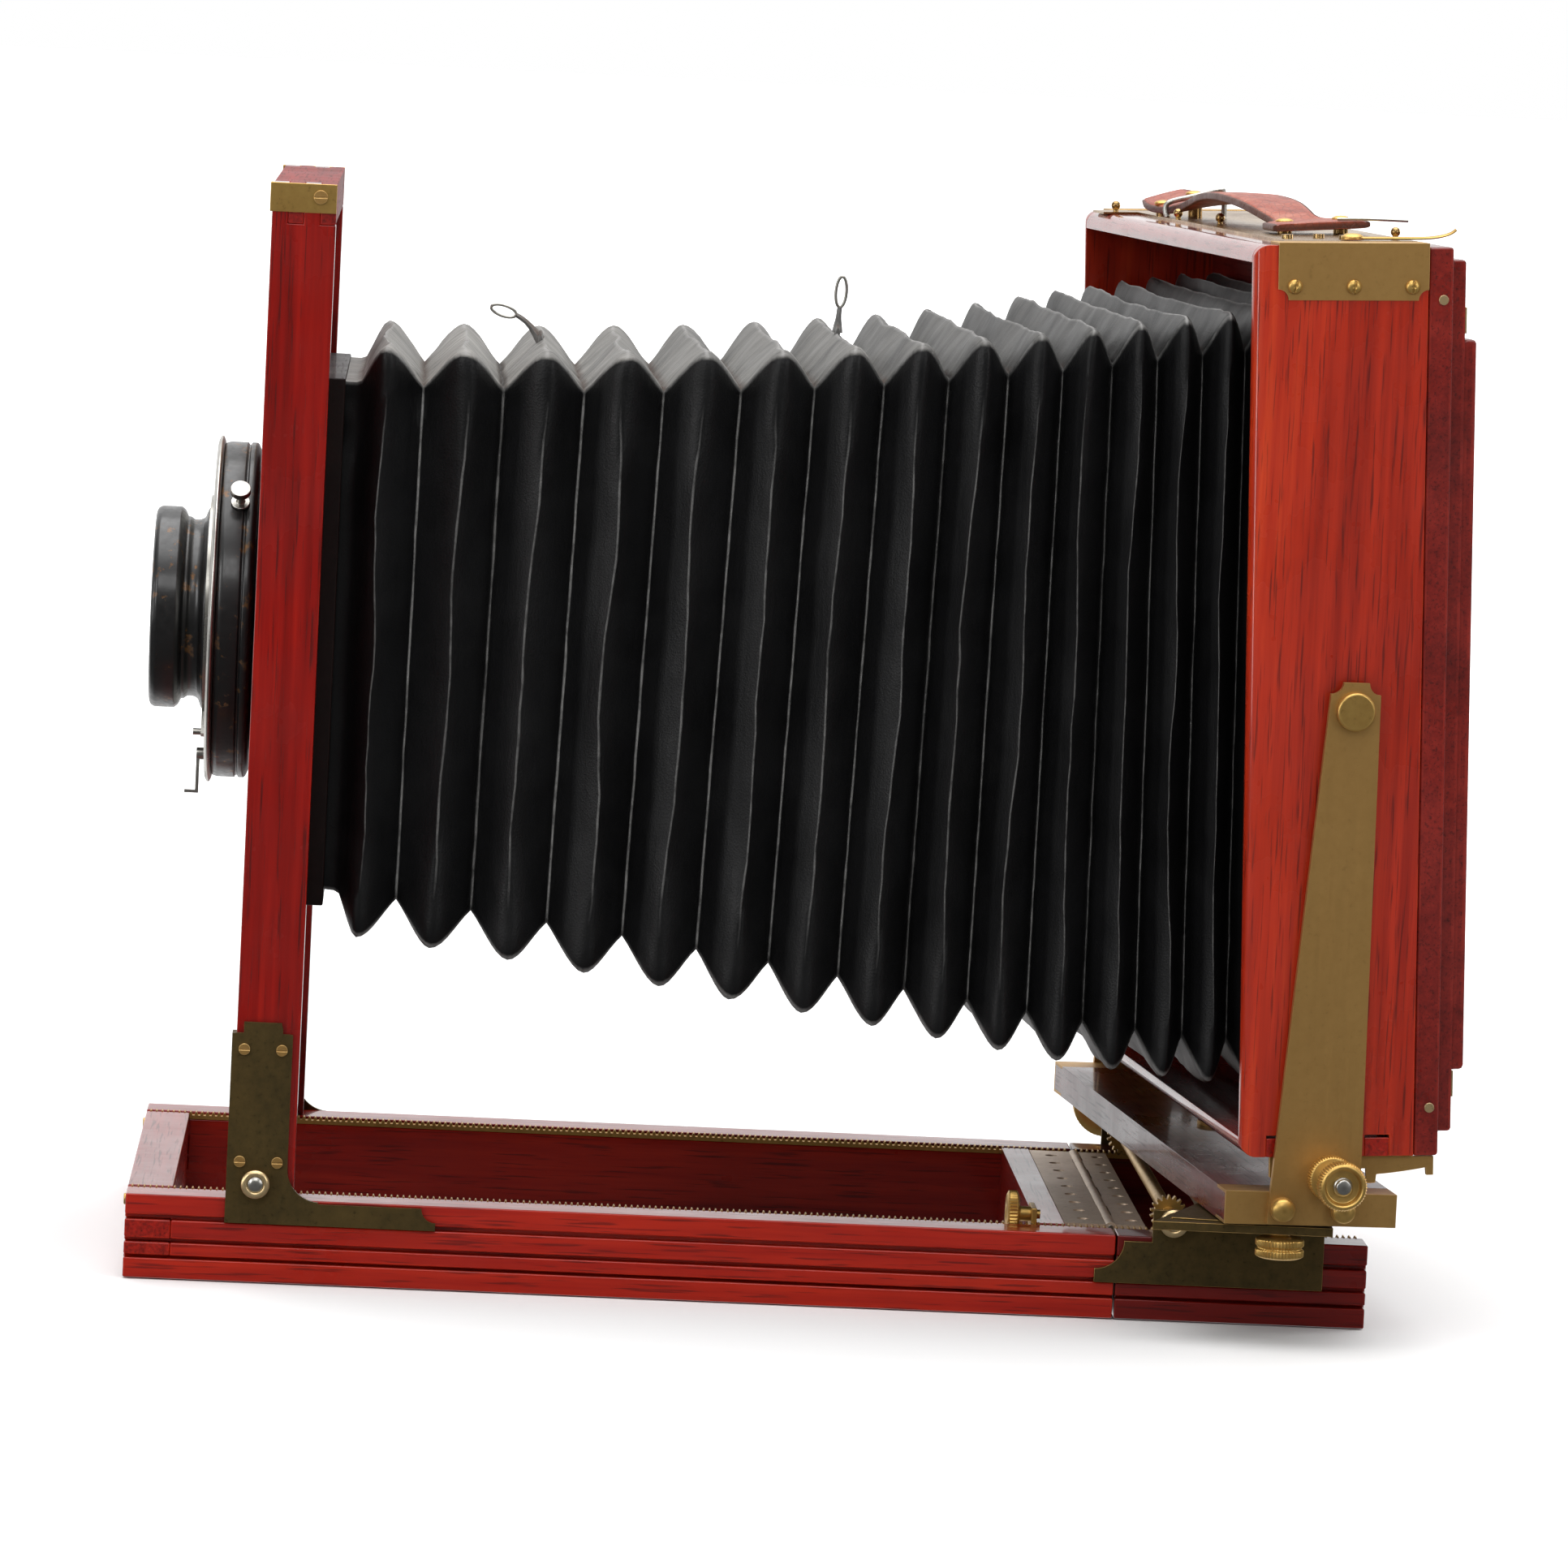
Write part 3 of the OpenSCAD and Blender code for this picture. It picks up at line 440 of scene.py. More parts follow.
def screen_glass_material():
    """Finely ground glass, evenly matt."""
    s = Shader("screen_glass", Transmission_Weight=0.55, IOR=1.5)
    here = s.place.outputs["Object"]
    haze = s.noise(here, 18, 4)
    s.drive("Base Color", s.ramp(haze, (0.3, linear(196, 204, 200)), (0.7, linear(222, 228, 222))))
    s.drive("Roughness", s.ramp(s.noise(here, 900, 2), (0.3, 0.55), (0.7, 0.8)))
    s.bump(s.noise(here, 4000, 2), 0.25, 0.0001)
    return s.material


MATERIALS["enamel"] = enamel_material()
MATERIALS["bellows"] = bellows_material()
MATERIALS["strap"] = strap_material()
MATERIALS["lens_glass"] = lens_glass_material()
MATERIALS["screen_glass"] = screen_glass_material()


# ---- making pieces ----
def show(name, mesh, material, smooth):
    """An object of the mesh, shaded smooth where its faces meet at less than this many degrees."""
    mesh.materials.clear()
    mesh.materials.append(MATERIALS[material])
    mesh.shade_smooth()
    mesh.set_sharp_from_angle(angle=radians(smooth))
    made = bpy.data.objects.new(name, mesh)
    bpy.context.scene.collection.objects.link(made)
    return made


def mesh_from(name, bm):
    mesh = bpy.data.meshes.new(name)
    bm.to_mesh(mesh)
    bm.free()
    return mesh


def placed(name, bm, place, material, smooth):
    """The shape facing outwards, brought from millimetres in its own frame to metres in the camera's."""
    bmesh.ops.recalc_face_normals(bm, faces=bm.faces)
    bm.transform(Matrix.Scale(MM, 4) @ place)
    return show(name, mesh_from(name, bm), material, smooth)


def even_normals(made):
    fix = made.modifiers.new("normals", "WEIGHTED_NORMAL")
    fix.keep_sharp = True
    fix.weight = 60


def body_of(node):
    return NODES[node]["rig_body"]


def finish_piece(made, node, slot):
    """Lets a piece ride with its node's body and stand for the node."""
    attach(made, body_of(node))
    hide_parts(node)


SLOTS = {
    "nickel": "nickel", "enamel": "shutter_enamel", "strap": "strap_leather", "lens_glass": "lens_glass",
    "screen_glass": "ground_glass",
}


def slot_for(material):
    if material.endswith("wood"):
        dark = material in ("rear_bed_wood", "lensboard_wood", "frame_wood", "black_wood")
        return "dark_mahogany" if dark else "mahogany"
    return "brass" if material.endswith("brass") else SLOTS[material]


# Edges sharper than this many degrees are eased, in this many steps
SHARP_EDGE, EASE_STEPS = 25, 2


def refine(node, material, width):
    """The node's own shape with its edges eased by this many millimetres and its flats kept flat."""
    bm = bmesh.new()
    bm.from_mesh(NODES[node].data)
    bmesh.ops.remove_doubles(bm, verts=bm.verts, dist=1e-6)
    bmesh.ops.dissolve_limit(bm, angle_limit=radians(0.5), verts=bm.verts, edges=bm.edges)
    bmesh.ops.delete(bm, geom=[v for v in bm.verts if not v.link_faces], context="VERTS")
    edge_layer = bm.faces.layers.float.new("edge")
    sharp = [e for e in bm.edges if e.is_manifold and e.calc_face_angle(0) > radians(SHARP_EDGE)]
    if width and sharp:
        eased = bmesh.ops.bevel(
            bm, geom=sharp, offset=width * MM, offset_type="OFFSET", segments=EASE_STEPS,
            profile=0.5, affect="EDGES", clamp_overlap=True, loop_slide=True,
        )
        for face in eased["faces"]:
            face[edge_layer] = 1.0
    bm.normal_update()
    made = show(node + "_finished", mesh_from(node + "_finished", bm), material, 35)
    even_normals(made)
    finish_piece(made, node, slot_for(material))


# Nodes shown as the CAD has them, with eased edges: node, material, ease in millimetres
REFINED = [
    ("bed_rails", "rail_wood", 0.8), ("bed_front_crosspiece", "rail_cross_wood", 0.6),
    ("bed_rear_crosspiece", "rail_cross_wood", 0.4), ("bed_hinge_leaves", "hinge_brass", 0.15),
    ("bed_hinge_pin", "nickel", 0.1), ("rear_bed_rails", "rear_bed_wood", 0.8),
    ("rear_bed_board", "rear_bed_wood", 0.5), ("tripod_bush", "brass", 0.4),
    ("focus_racks", "brass", 0), ("bed_fittings", "brass", 0.4), ("front_posts", "post_wood", 0.9),
    ("front_top_rail", "standard_wood", 0.6), ("front_bottom_rail", "standard_wood", 1.0),
    ("front_brackets", "patina_brass", 0.45), ("front_corner_straps", "brass", 0.2),
    ("front_screws", "satin_brass", 0.15), ("front_pinion", "brass", 0.08),
    ("lens_panel", "panel_wood", 0.8), ("lensboard", "lensboard_wood", 1.2),
    ("lensboard_slider", "brass", 0.4), ("lens_glasses", "lens_glass", 0),
    ("cocking_lever", "nickel", 0.3), ("aperture_lever", "nickel", 0.2),
    ("release_lever", "nickel", 0.2), ("bellows_front_frame", "black_wood", 0.6),
    ("carriage_plates", "patina_brass", 0.45), ("carriage_crossplate", "patina_brass", 0.3),
    ("rear_pinion", "brass", 0.08), ("swing_board", "swing_wood", 1.2),
    ("swing_board_caps", "satin_brass", 0.2), ("tilt_arms", "satin_brass", 0.35),
    ("tilt_pivot_screws", "brass", 1.1), ("case_top", "case_lid_wood", 0.35),
    ("case_bottom", "case_lid_wood", 0.35), ("case_sides", "case_wood", 0.35),
    ("case_corner_plates", "satin_brass", 0.15), ("case_top_fittings", "top_brass", 0.15),
    ("tilt_quadrants", "satin_brass", 0.3), ("bellows_rear_frame", "frame_wood", 0.5),
    ("back_frame", "back_wood", 1.0), ("back_springs", "bright_brass", 0.15),
    ("ground_glass_frame", "back_wood", 1.4), ("ground_glass", "screen_glass", 0.2),
]
for node_name, material_name, ease in REFINED:
    refine(node_name, material_name, ease)


# ---- turned pieces ----
def rounded(profile, radius, steps=3):
    """The outline with each corner rounded; a point may carry its own radius as a third number."""
    out = []
    n = len(profile)
    for k, point in enumerate(profile):
        here = Vector(point[:2])
        r = point[2] if len(point) > 2 else radius
        a, b = Vector(profile[k - 1][:2]) - here, Vector(profile[(k + 1) % n][:2]) - here
        if r <= 0 or a.length < 1e-6 or b.length < 1e-6 or here.x < 1e-6:
            out.append((tuple(here), 0))
            continue
        r = min(r, a.length * 0.45, b.length * 0.45)
        p, q = here + a.normalized() * r, here + b.normalized() * r
        for s in range(steps + 1):
            t = s / steps
            out.append((tuple(p * (1 - t) ** 2 + here * 2 * t * (1 - t) + q * t * t), 1))
    return out


def lathe(profile, sides=96, radius=0.5, knurl=None):
    """A closed outline of (radius, height) points turned about Z, in mm.

    knurl is the (low, high, teeth, depth) of a milled edge.
    """
    points = rounded(profile, radius)
    if knurl:
        low, high, teeth, depth = knurl
        sides = teeth * 4
    bm = bmesh.new()
    edge = bm.verts.layers.float.new("edge")
    rings = []
    top = max(p[0][0] for p in points)
    for (r, h), rim in points:
        ring = []
        for k in range(sides):
            out = r
            if knurl and low - 0.01 <= h <= high + 0.01 and r > top * 0.9:
                out -= depth * (0, 0.45, 1, 0.45)[k % 4]
            a = 2 * pi * k / sides
            v = bm.verts.new((out * cos(a), out * sin(a), h))
            v[edge] = rim
            ring.append(v)
        rings.append(ring)
    for i, ring in enumerate(rings):
        after = rings[(i + 1) % len(rings)]
        for k in range(sides):
            bm.faces.new((ring[k], ring[(k + 1) % sides], after[(k + 1) % sides], after[k]))
    bmesh.ops.remove_doubles(bm, verts=bm.verts, dist=1e-4)
    bmesh.ops.dissolve_degenerate(bm, edges=bm.edges, dist=1e-4)
    bmesh.ops.recalc_face_normals(bm, faces=bm.faces)
    return bm


def turned(name, node, material, bm, place, smooth=40, stands=True):
    """A lathed shape in its place. One that stands for its node replaces it, the others only ride with it."""
    bm.transform(Matrix.Scale(MM, 4) @ place)
    made = show(name, mesh_from(name, bm), material, smooth)
    if stands:
        finish_piece(made, node, slot_for(material))
    else:
        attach(made, body_of(node))


def facing(at, x=0, y=0, z=1, frame_of=None):
    """Puts local Z along a direction, at a place in millimetres."""
    turn = Vector((x, y, z)).to_track_quat("Z", "Y").to_matrix().to_4x4()
    place = Matrix.Translation(Vector(at)) @ turn
    return frame_of @ place if frame_of else place


# Milled knobs. Each outline runs from the shaft side out: radius, height and the corner's own rounding
def focus_knob(name, node):
    knob_mid = middle(node)
    outline = [
        (2.5, 0, 0), (5, 0), (5, 8, 2), (10.8, 8, 1), (12.5, 9.4, 0.5), (12.5, 15.6, 0.5),
        (11, 17, 1), (7.5, 17, 1), (6.5, 16, 1), (0, 16, 0), (0, 14, 0), (2.5, 14, 0),
    ]
    place = facing((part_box(node)[1].x / MM, knob_mid.y, knob_mid.z), x=-1, z=0)
    turned(name, node, "brass", lathe(outline, knurl=(9.4, 15.6, 56, 0.5)), place)


focus_knob("front_focus_knob_milled", "front_focus_knob")
focus_knob("rear_focus_knob_milled", "rear_focus_knob")

# Axis of the swing clamp, on the swing board before it is turned
CLAMP_AT = Vector((160, -8.2, 0))
clamp_outline = [
    (0, 30.1, 0), (6.8, 30.1), (8.4, 30.9, 0.4), (8.4, 33, 0.3), (7.7, 33.5, 0.2), (7.7, 34.1, 0.2),
    (8.4, 34.6, 0.3), (8.4, 36.6, 0.4), (7, 37.4, 0.6), (3.4, 37.6, 0.8), (3, 38.4, 0.3),
    (4.4, 39.4, 0.2), (2, 39.4, 0), (2, 52.8, 0.3), (0, 52.8, 0),
]
turned(
    "swing_clamp_knob_milled", "swing_clamp_knob", "brass", lathe(clamp_outline, knurl=(30.5, 37, 44, 0.35)),
    Matrix.Translation(SWUNG @ CLAMP_AT),
)

# Axis of the tilt bolts, across the turned swing board
TILT_BOLT = Matrix.Translation((0, 5.8, 59.8))


def tilt_knob(name, node, side):
    """A milled disc against the arm, a waisted neck and a milled cup with the bolt's end in it."""
    bolt = [
        (0, 159.2, 0), (3.2, 159.2, 0.4), (3.2, 160.7, 0.3), (1.5, 160.7, 0), (1.5, 170.3, 0),
        (7.2, 170.3, 0.3), (8, 171.1, 0.3), (8, 174.5, 0.3), (7.2, 175.3, 0.3), (4.4, 175.6, 0.8),
        (3.8, 179.5, 1.5), (4.3, 184.5, 1.2), (6.2, 186.8, 0.8), (7.6, 187.3, 0.4),
        (8.5, 188.2, 0.3), (8.5, 192.7, 0.3), (7.7, 193.8, 0.4), (6.9, 194.3, 0.3),
        (6.2, 193.7, 0.4), (5.8, 191.8, 0.5), (0, 191.8, 0),
    ]
    place = SWUNG @ TILT_BOLT @ facing((0, 0, 0), x=side, z=0)
    turned(name, node, "brass", lathe(bolt, knurl=(170.5, 193.5, 52, 0.4)), place)
    end = [
        (0, 191.6, 0), (3.4, 191.6, 0.2), (3.4, 192.6, 0.3), (2.7, 193.1, 0.2), (2.7, 194.4, 0.6),
        (0, 194.7, 0),
    ]
    turned(name + "_bolt_end", node, "nickel", lathe(end, 48), place, stands=False)


tilt_knob("tilt_knob_right_milled", "tilt_knob_right", 1)
tilt_knob("tilt_knob_left_milled", "tilt_knob_left", -1)

lock_outline = [
    (0, 0, 0), (1.6, 0, 0), (1.6, 3.2, 0), (2.6, 3.2, 0.2), (2.6, 7.4, 0.6), (6.6, 7.6, 0.6),
    (8, 8.4, 0.3), (8, 11.2, 0.3), (6.6, 12, 0.6), (3, 12, 0.6), (2.2, 11.2, 0.5), (0, 11.2, 0),
]
knob_mid = middle("bed_lock_knob")
turned(
    "bed_lock_knob_milled", "bed_lock_knob", "brass", lathe(lock_outline, knurl=(8.4, 11.2, 40, 0.4)),
    facing((knob_mid.x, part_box("bed_lock_knob")[1].y / MM, knob_mid.z), y=-1, z=0),
)


def domed_head(name, node, at, r, height, frame_of, out, slotted=True):
    """A round-headed screw standing on a surface, with its slot turned by an angle that its place sets."""
    outline = [
        (0, 0, 0), (r, 0, 0), (r, 0.25 * height, 0.2), (0.86 * r, 0.68 * height, 0.6),
        (0.5 * r, 0.95 * height, 0.8), (0, height, 0),
    ]
    bm = lathe(outline, 48, 0.4)
    if slotted:
        lift = bm.verts.layers.float["edge"]
        for v in bm.verts:
            if abs(v.co.x) < 0.16 * r and v.co.z > 0.3 * height:
                v.co.z -= 0.32 * height
                v[lift] = 0
        bm.normal_update()
    turn = Matrix.Rotation(sum(at) * 1.7, 4, "Z")
    place = facing(at, *out, frame_of=frame_of) @ turn
    turned(name, node, "brass", bm, place, smooth=30, stands=False)


# Radius and height of the heads, and where they stand
BALL_SIZE, BALL_X, BALL_YS, BALL_Z = (4.3, 3.6), 171.4, (-10.2, 10.9), 48.4
SCREW_SIZE, SCREW_X, SCREW_YS, SCREW_Z = (2.5, 1.5), 166.1, (-22.4, -2.0, 18.4), 144.4
for side, side_name in ((1, "right"), (-1, "left")):
    for k, y in enumerate(BALL_YS):
        at = (side * BALL_X, y, BALL_Z)
        name = "arm_ball_%s_%d" % (side_name, k)
        domed_head(name, "tilt_arms", at, *BALL_SIZE, SWUNG, (side, 0, 0), slotted=False)
    for k, y in enumerate(SCREW_YS):
        at = (side * SCREW_X, y, SCREW_Z)
        name = "plate_screw_%s_%d" % (side_name, k)
        domed_head(name, "case_corner_plates", at, *SCREW_SIZE, TILTED, (side, 0, 0))


# Bosses over the pinion shafts' right-hand ends: a brass ring round a nickel centre
BOSS_SUNK = 0.2
boss_outline = [(2.6, 0, 0), (5, 0, 0.2), (5, 0.8, 0.4), (4, 1.5, 0.4), (3, 1.3, 0.3), (2.6, 0.4, 0)]
centre_outline = [(0, 0, 0), (2.8, 0, 0), (2.8, 0.9, 0.3), (1.6, 1.6, 0.6), (0, 1.7, 0)]
for node_name in ("front_pinion", "rear_pinion"):
    shaft_mid = middle(node_name)
    place = facing((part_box(node_name)[1].x / MM - BOSS_SUNK, shaft_mid.y, shaft_mid.z), x=1, z=0)
    boss = lathe(boss_outline, 48)
    turned(node_name + "_boss", node_name, "bright_brass", boss, place, stands=False)
    turned(node_name + "_centre", node_name, "nickel", lathe(centre_outline, 40), place, stands=False)


# ---- lens and shutter: heights are distances in front of the bed's origin ----
FRONT = facing(LENS_AT, y=-1, z=0)
drum_outline = [
    (28.5, 340, 0), (46, 340, 0.5), (50, 340.3, 0.5), (50, 342.2, 0.3), (57.4, 342.6, 0.8),
    (60, 343.8, 0.8), (60, 346, 0.3), (59.2, 346.4, 0.2), (59.2, 347, 0.2), (60, 347.4, 0.3),
    (60, 353.6, 0.4), (59.4, 355.5, 0.5), (28.5, 355.5, 0),
]
turned("shutter_drum", "shutter_body", "enamel", lathe(drum_outline, 160), FRONT)
ring_outline = [
    (36, 355.6, 0.3), (60.4, 355.6, 0.3), (62, 356.3, 0.5), (62, 357.1, 0.5), (60.2, 358, 0.8),
    (56.5, 358, 0.3), (56, 357.5, 0.2), (54.6, 357.5, 0.2), (54, 358, 0.3), (42, 358, 0.3),
    (41.4, 357.6, 0.2), (36, 357.6, 0.2),
]
turned("shutter_nickel_ring", "shutter_front_ring", "nickel", lathe(ring_outline, 160), FRONT)
front_outline = [
    (26, 347, 0), (28.4, 347, 0), (28.4, 355.4, 0), (33.6, 355.5, 0.3), (36, 356.4, 0.3),
    (36, 360.2, 0.5), (34.2, 361, 0.5), (32.4, 361.6, 0.8), (31.6, 363.4, 0.8), (31.6, 365.4, 0.6),
    (32.6, 366.6, 0.4), (32.6, 367.6, 0.4), (34.8, 368.6, 0.6), (36, 370, 0.4), (36, 377, 0.5),
    (35.2, 378.4, 0.5), (33.8, 379, 0.5), (32.2, 378.8, 0.4), (28, 373.4, 0.6), (27, 370.4, 0.3),
    (26, 370.2, 0.3), (26, 347.1, 0),
]
turned("lens_front_barrel", "front_barrel", "enamel", lathe(front_outline, 144), FRONT)
rear_outline = [
    (24, 305, 0.3), (27.6, 305, 0.6), (28, 306, 0.3), (28, 327, 0.3), (28.8, 327.4, 0.3),
    (28.8, 329.8, 0.3), (33, 330, 0.4), (33, 333, 0.4), (28.4, 333, 0.3), (28.4, 341, 0.3),
    (24, 341, 0.3), (23.6, 312, 0.3),
]
turned("lens_rear_barrel", "rear_barrel", "enamel", lathe(rear_outline, 96), FRONT)


# ---- bellows: the curves below give millimetres for a place in folds from the front ----
FOLDS = 17
# Length along the camera, and where the front frame is
BELLOWS_LENGTH, BELLOWS_Y = 343, -313
# Depth of a fold and thickness of the leather in millimetres, and the sag's lean in degrees
FOLD_DEPTH, LEATHER, SAG = 14, 1.4, 2.1
# Rows of points in a fold, and points across a side
STEPS, ACROSS = 14, 32
# Mark of the leather glued to the front frame, away from the ridges' and valleys' marks
STRIP_MARK = 0.3
# Share of the first fold that lies flat on the front frame
FLAT_STRIP = 0.2
# Millimetres that the leather strays by: on the sides and bottom, and then on top
CREASE, CRUMPLE, KINK = (0.6, 0.9), (0.3, 0.9), (0.25, 0.9)
# Millimetres that a fold sways, a side is drawn in, the first fold is pinched and a corner is rounded by
SWAY, PULL, PINCH, CORNER = 3.4, 1.0, 2.6, 0.9


def fold_y(u):
    """How far behind the front frame a place u folds along is."""
    s = u / FOLDS
    return BELLOWS_LENGTH * s * (1.268 + 0.583 * s - 1.659 * s**2 + 0.808 * s**3)


def fold_half(u):
    """Half the width of the square through the valleys."""
    s = u / FOLDS
    return 89 + 11 * s + 88 * s**2 - 67 * s**3


def fold_middle(u):
    """Height of the bellows' axis."""
    s = u / FOLDS
    return 223.7 - 25 * s + 24 * s**2


def fold_turn(u):
    """The turn about Z and the lean about X of a fold, which grow from the front frame's to the case's."""
    share = (u / FOLDS) ** 2
    return radians(SWING_DEG * share), radians(TILT_DEG * share - SAG * sin(radians(15 * min(u, 12))))


def ease(value, low, high):
    """Rises smoothly from 0 at low to 1 at high."""
    t = min(1, max(0, (value - low) / (high - low)))
    return t * t * (3 - 2 * t)


def fold_state(u):
    """How far up its fold a place is, 0 in a valley and 1 on a ridge, and which fold it is in."""
    whole = min(FOLDS - 1, floor(u + 1e-9))
    part = min(1, max(0, u - whole))
    if whole == 0 and part < 0.5:
        part = max(0, (part - FLAT_STRIP) / (0.5 - FLAT_STRIP)) / 2
    return 1 - abs(2 * part - 1), whole


def bellows_point(u, side, t, inset=0):
    """A point of the leather, and how far up its fold it is.

    u is in folds from the front, side is 0 to 3 with 1 on top, and t runs from -1 to 1 across the side.
    """
    tri, whole = fold_state(u)
    corner = ease(abs(t), 0.5, 1)
    soft_fold = 0.5 * (1 - (1 - tri) ** 2) + 0.5 * tri * tri * (3 - 2 * tri)
    plain_fold = 1 - (1 - tri) ** 1.12
    arch = plain_fold + (soft_fold - plain_fold) * corner
    depth = FOLD_DEPTH * (1 + 0.08 * noise.noise(Vector((whole * 3.7, 1.3 * side + 0.4, 0.2))) * (1 - corner))
    ends = min(1, 3 * min(u, FOLDS - u))
    inner = (1 - abs(t) ** 10) * ends
    upper = side == 1
    crease = noise.noise(Vector((t * 4 + side * 9, u * 2.1, 3.1))) * CREASE[upper]
    crumpled = CRUMPLE[upper] * (0.3 + (1 - tri) ** 2 + corner * 0.5)
    crumple = noise.noise(Vector((t * 15 + side * 5, u * 6.3, 7.7))) * crumpled
    pinch = 0
    if whole == 0 and side == 0 and t > 0.4:
        pinched = max(0, noise.noise(Vector((t * 9, u * 5, 1.7))) + 0.35)
        pinch = -PINCH * ease(t, 0.5, 0.86) * (1 - ease(t, 0.9, 1)) * pinched
    pull = -PULL * (1 - t * t) * (0.5 + 0.5 * tri)
    span = fold_half(u) + depth * arch - inset
    rounding = CORNER * (0.4 + tri) * ease(abs(t), 0.94, 1) ** 2
    across = t * (span - rounding)
    out = span + pull + (crease + crumple) * inner + pinch - rounding
    x, z = ((out, across), (-across, out), (-out, -across), (across, -out))[side]
    sway = noise.noise(Vector((t * 1.7 + side * 7, whole * 2.3 + 0.5, 11.3))) * SWAY * tri * tri
    kinked = 0.7 * tri + KINK[upper] * (1 - tri) ** 3
    kink = noise.noise(Vector((t * 8 + side * 3, u * 2.2, 5.9))) * kinked
    lean = (sway + kink) * inner
    a, b = fold_turn(u)
    return Vector((
        x * cos(a) + z * sin(b) * sin(a),
        BELLOWS_Y + fold_y(u) + lean + x * sin(a) - z * sin(b),
        fold_middle(u) + z * cos(b),
    )), tri


def across_places():
    """Places from one corner to the next, closer together near the corners."""
    return [sin((k / ACROSS - 0.5) * pi * 0.86) / sin(0.43 * pi) for k in range(ACROSS)]


def bellows_piece(name, node, first, last, bodies, start, end):
    """The leather from one fold to another, with a thickness, bending between its two bodies."""
    bm = bmesh.new()
    layers = [bm.verts.layers.float.new(k) for k in ("fold", "lateral", "along")]
    shells = []
    rows = (last - first) * STEPS
    for inset in (0, LEATHER):
        shell = []
        for row in range(rows + 1):
            u = first + row / STEPS
            ring = []
            for side in range(4):
                for t in across_places():
                    point, tri = bellows_point(u, side, t, inset)
                    v = bm.verts.new(point * MM)
                    glued = tri == 0 and u < 2 * FLAT_STRIP
                    v[layers[0]] = STRIP_MARK if glued else tri
                    v[layers[1]] = abs(t)
                    v[layers[2]] = u / FOLDS
                    ring.append(v)
            shell.append(ring)
        shells.append(shell)
    n = 4 * ACROSS
    for which, shell in enumerate(shells):
        for row in range(rows):
            for k in range(n):
                after = (k + 1) % n
                quad = (shell[row][k], shell[row][after], shell[row + 1][after], shell[row + 1][k])
                bm.faces.new(quad[::-1] if which else quad)
    for row in (0, rows):
        for k in range(n):
            after = (k + 1) % n
            outer, inner = shells[0][row], shells[1][row]
            bm.faces.new((outer[k], inner[k], inner[after], outer[after]))
    bmesh.ops.recalc_face_normals(bm, faces=bm.faces)
    made = show(name, mesh_from(name, bm), "bellows", smooth=62)
    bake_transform(made, *bodies, start=start, end=end)
    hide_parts(node)


def plane_pair(first, last, margin):
    """Start and end of a blend between two folds, square to them and this many millimetres inside them."""
    turns = fold_turn(first), fold_turn(last)
    a, b = ((first_turn + last_turn) / 2 for first_turn, last_turn in zip(*turns))
    way = Vector((-sin(a), cos(a), sin(b))).normalized()
    low, high = (Vector((0, BELLOWS_Y + fold_y(u), fold_middle(u))) for u in (first, last))
    start = low + way * margin
    return start * MM, (start + way * ((high - low).dot(way) - 2 * margin)) * MM


SECTIONS = [
    ("bellows_section_1", 0, 2, ("lens_panel", "front_standard"), 1.5),
    ("bellows_section_2", 2, 8, ("front_standard", "bed"), 2.2),
    ("bellows_section_3", 8, 11, ("bed", "rear_carriage"), 3.4),
    ("bellows_section_4", 11, 15, ("rear_carriage", "swing_board"), 4),
    ("bellows_section_5", 15, 17, ("swing_board", "case"), 2.2),
]
for node_name, first, last, bodies, margin in SECTIONS:
    start, end = plane_pair(first, last, margin)
    bellows_piece(node_name + "_leather", node_name, first, last, bodies, start, end)


# ---- bellows lifting loops, which follow the second section ----
LOOP_START, LOOP_END = plane_pair(2, 8, 2.2)


def tube(bm, path, radius, sides, closed=False, flat=1.0):
    """A round or flattened bar along a path of points, in mm."""
    count = len(path)
    rings = []
    normal = Vector((1, 0, 0))
    for k, p in enumerate(path):
        before = path[k - 1] if k or closed else p
        after = path[(k + 1) % count] if k + 1 < count or closed else p
        way = (after - before).normalized()
        normal = (normal - way * normal.dot(way)).normalized()
        other = way.cross(normal)
        r = radius[k] if hasattr(radius, "__len__") else radius
        angles = [2 * pi * j / sides for j in range(sides)]
        rings.append([bm.verts.new(p + normal * cos(a) * r + other * sin(a) * r * flat) for a in angles])
    for k in range(count if closed else count - 1):
        a, b = rings[k], rings[(k + 1) % count]
        for j in range(sides):
            bm.faces.new((a[j], a[(j + 1) % sides], b[(j + 1) % sides], b[j]))
    if not closed:
        bm.faces.new(rings[0][::-1])
        bm.faces.new(rings[-1])


# Half width of the wire oval, the points round it and the wire's radius
OVAL_HALF_WIDTH, OVAL_POINTS, WIRE_RADIUS = 1.9, 28, 0.55


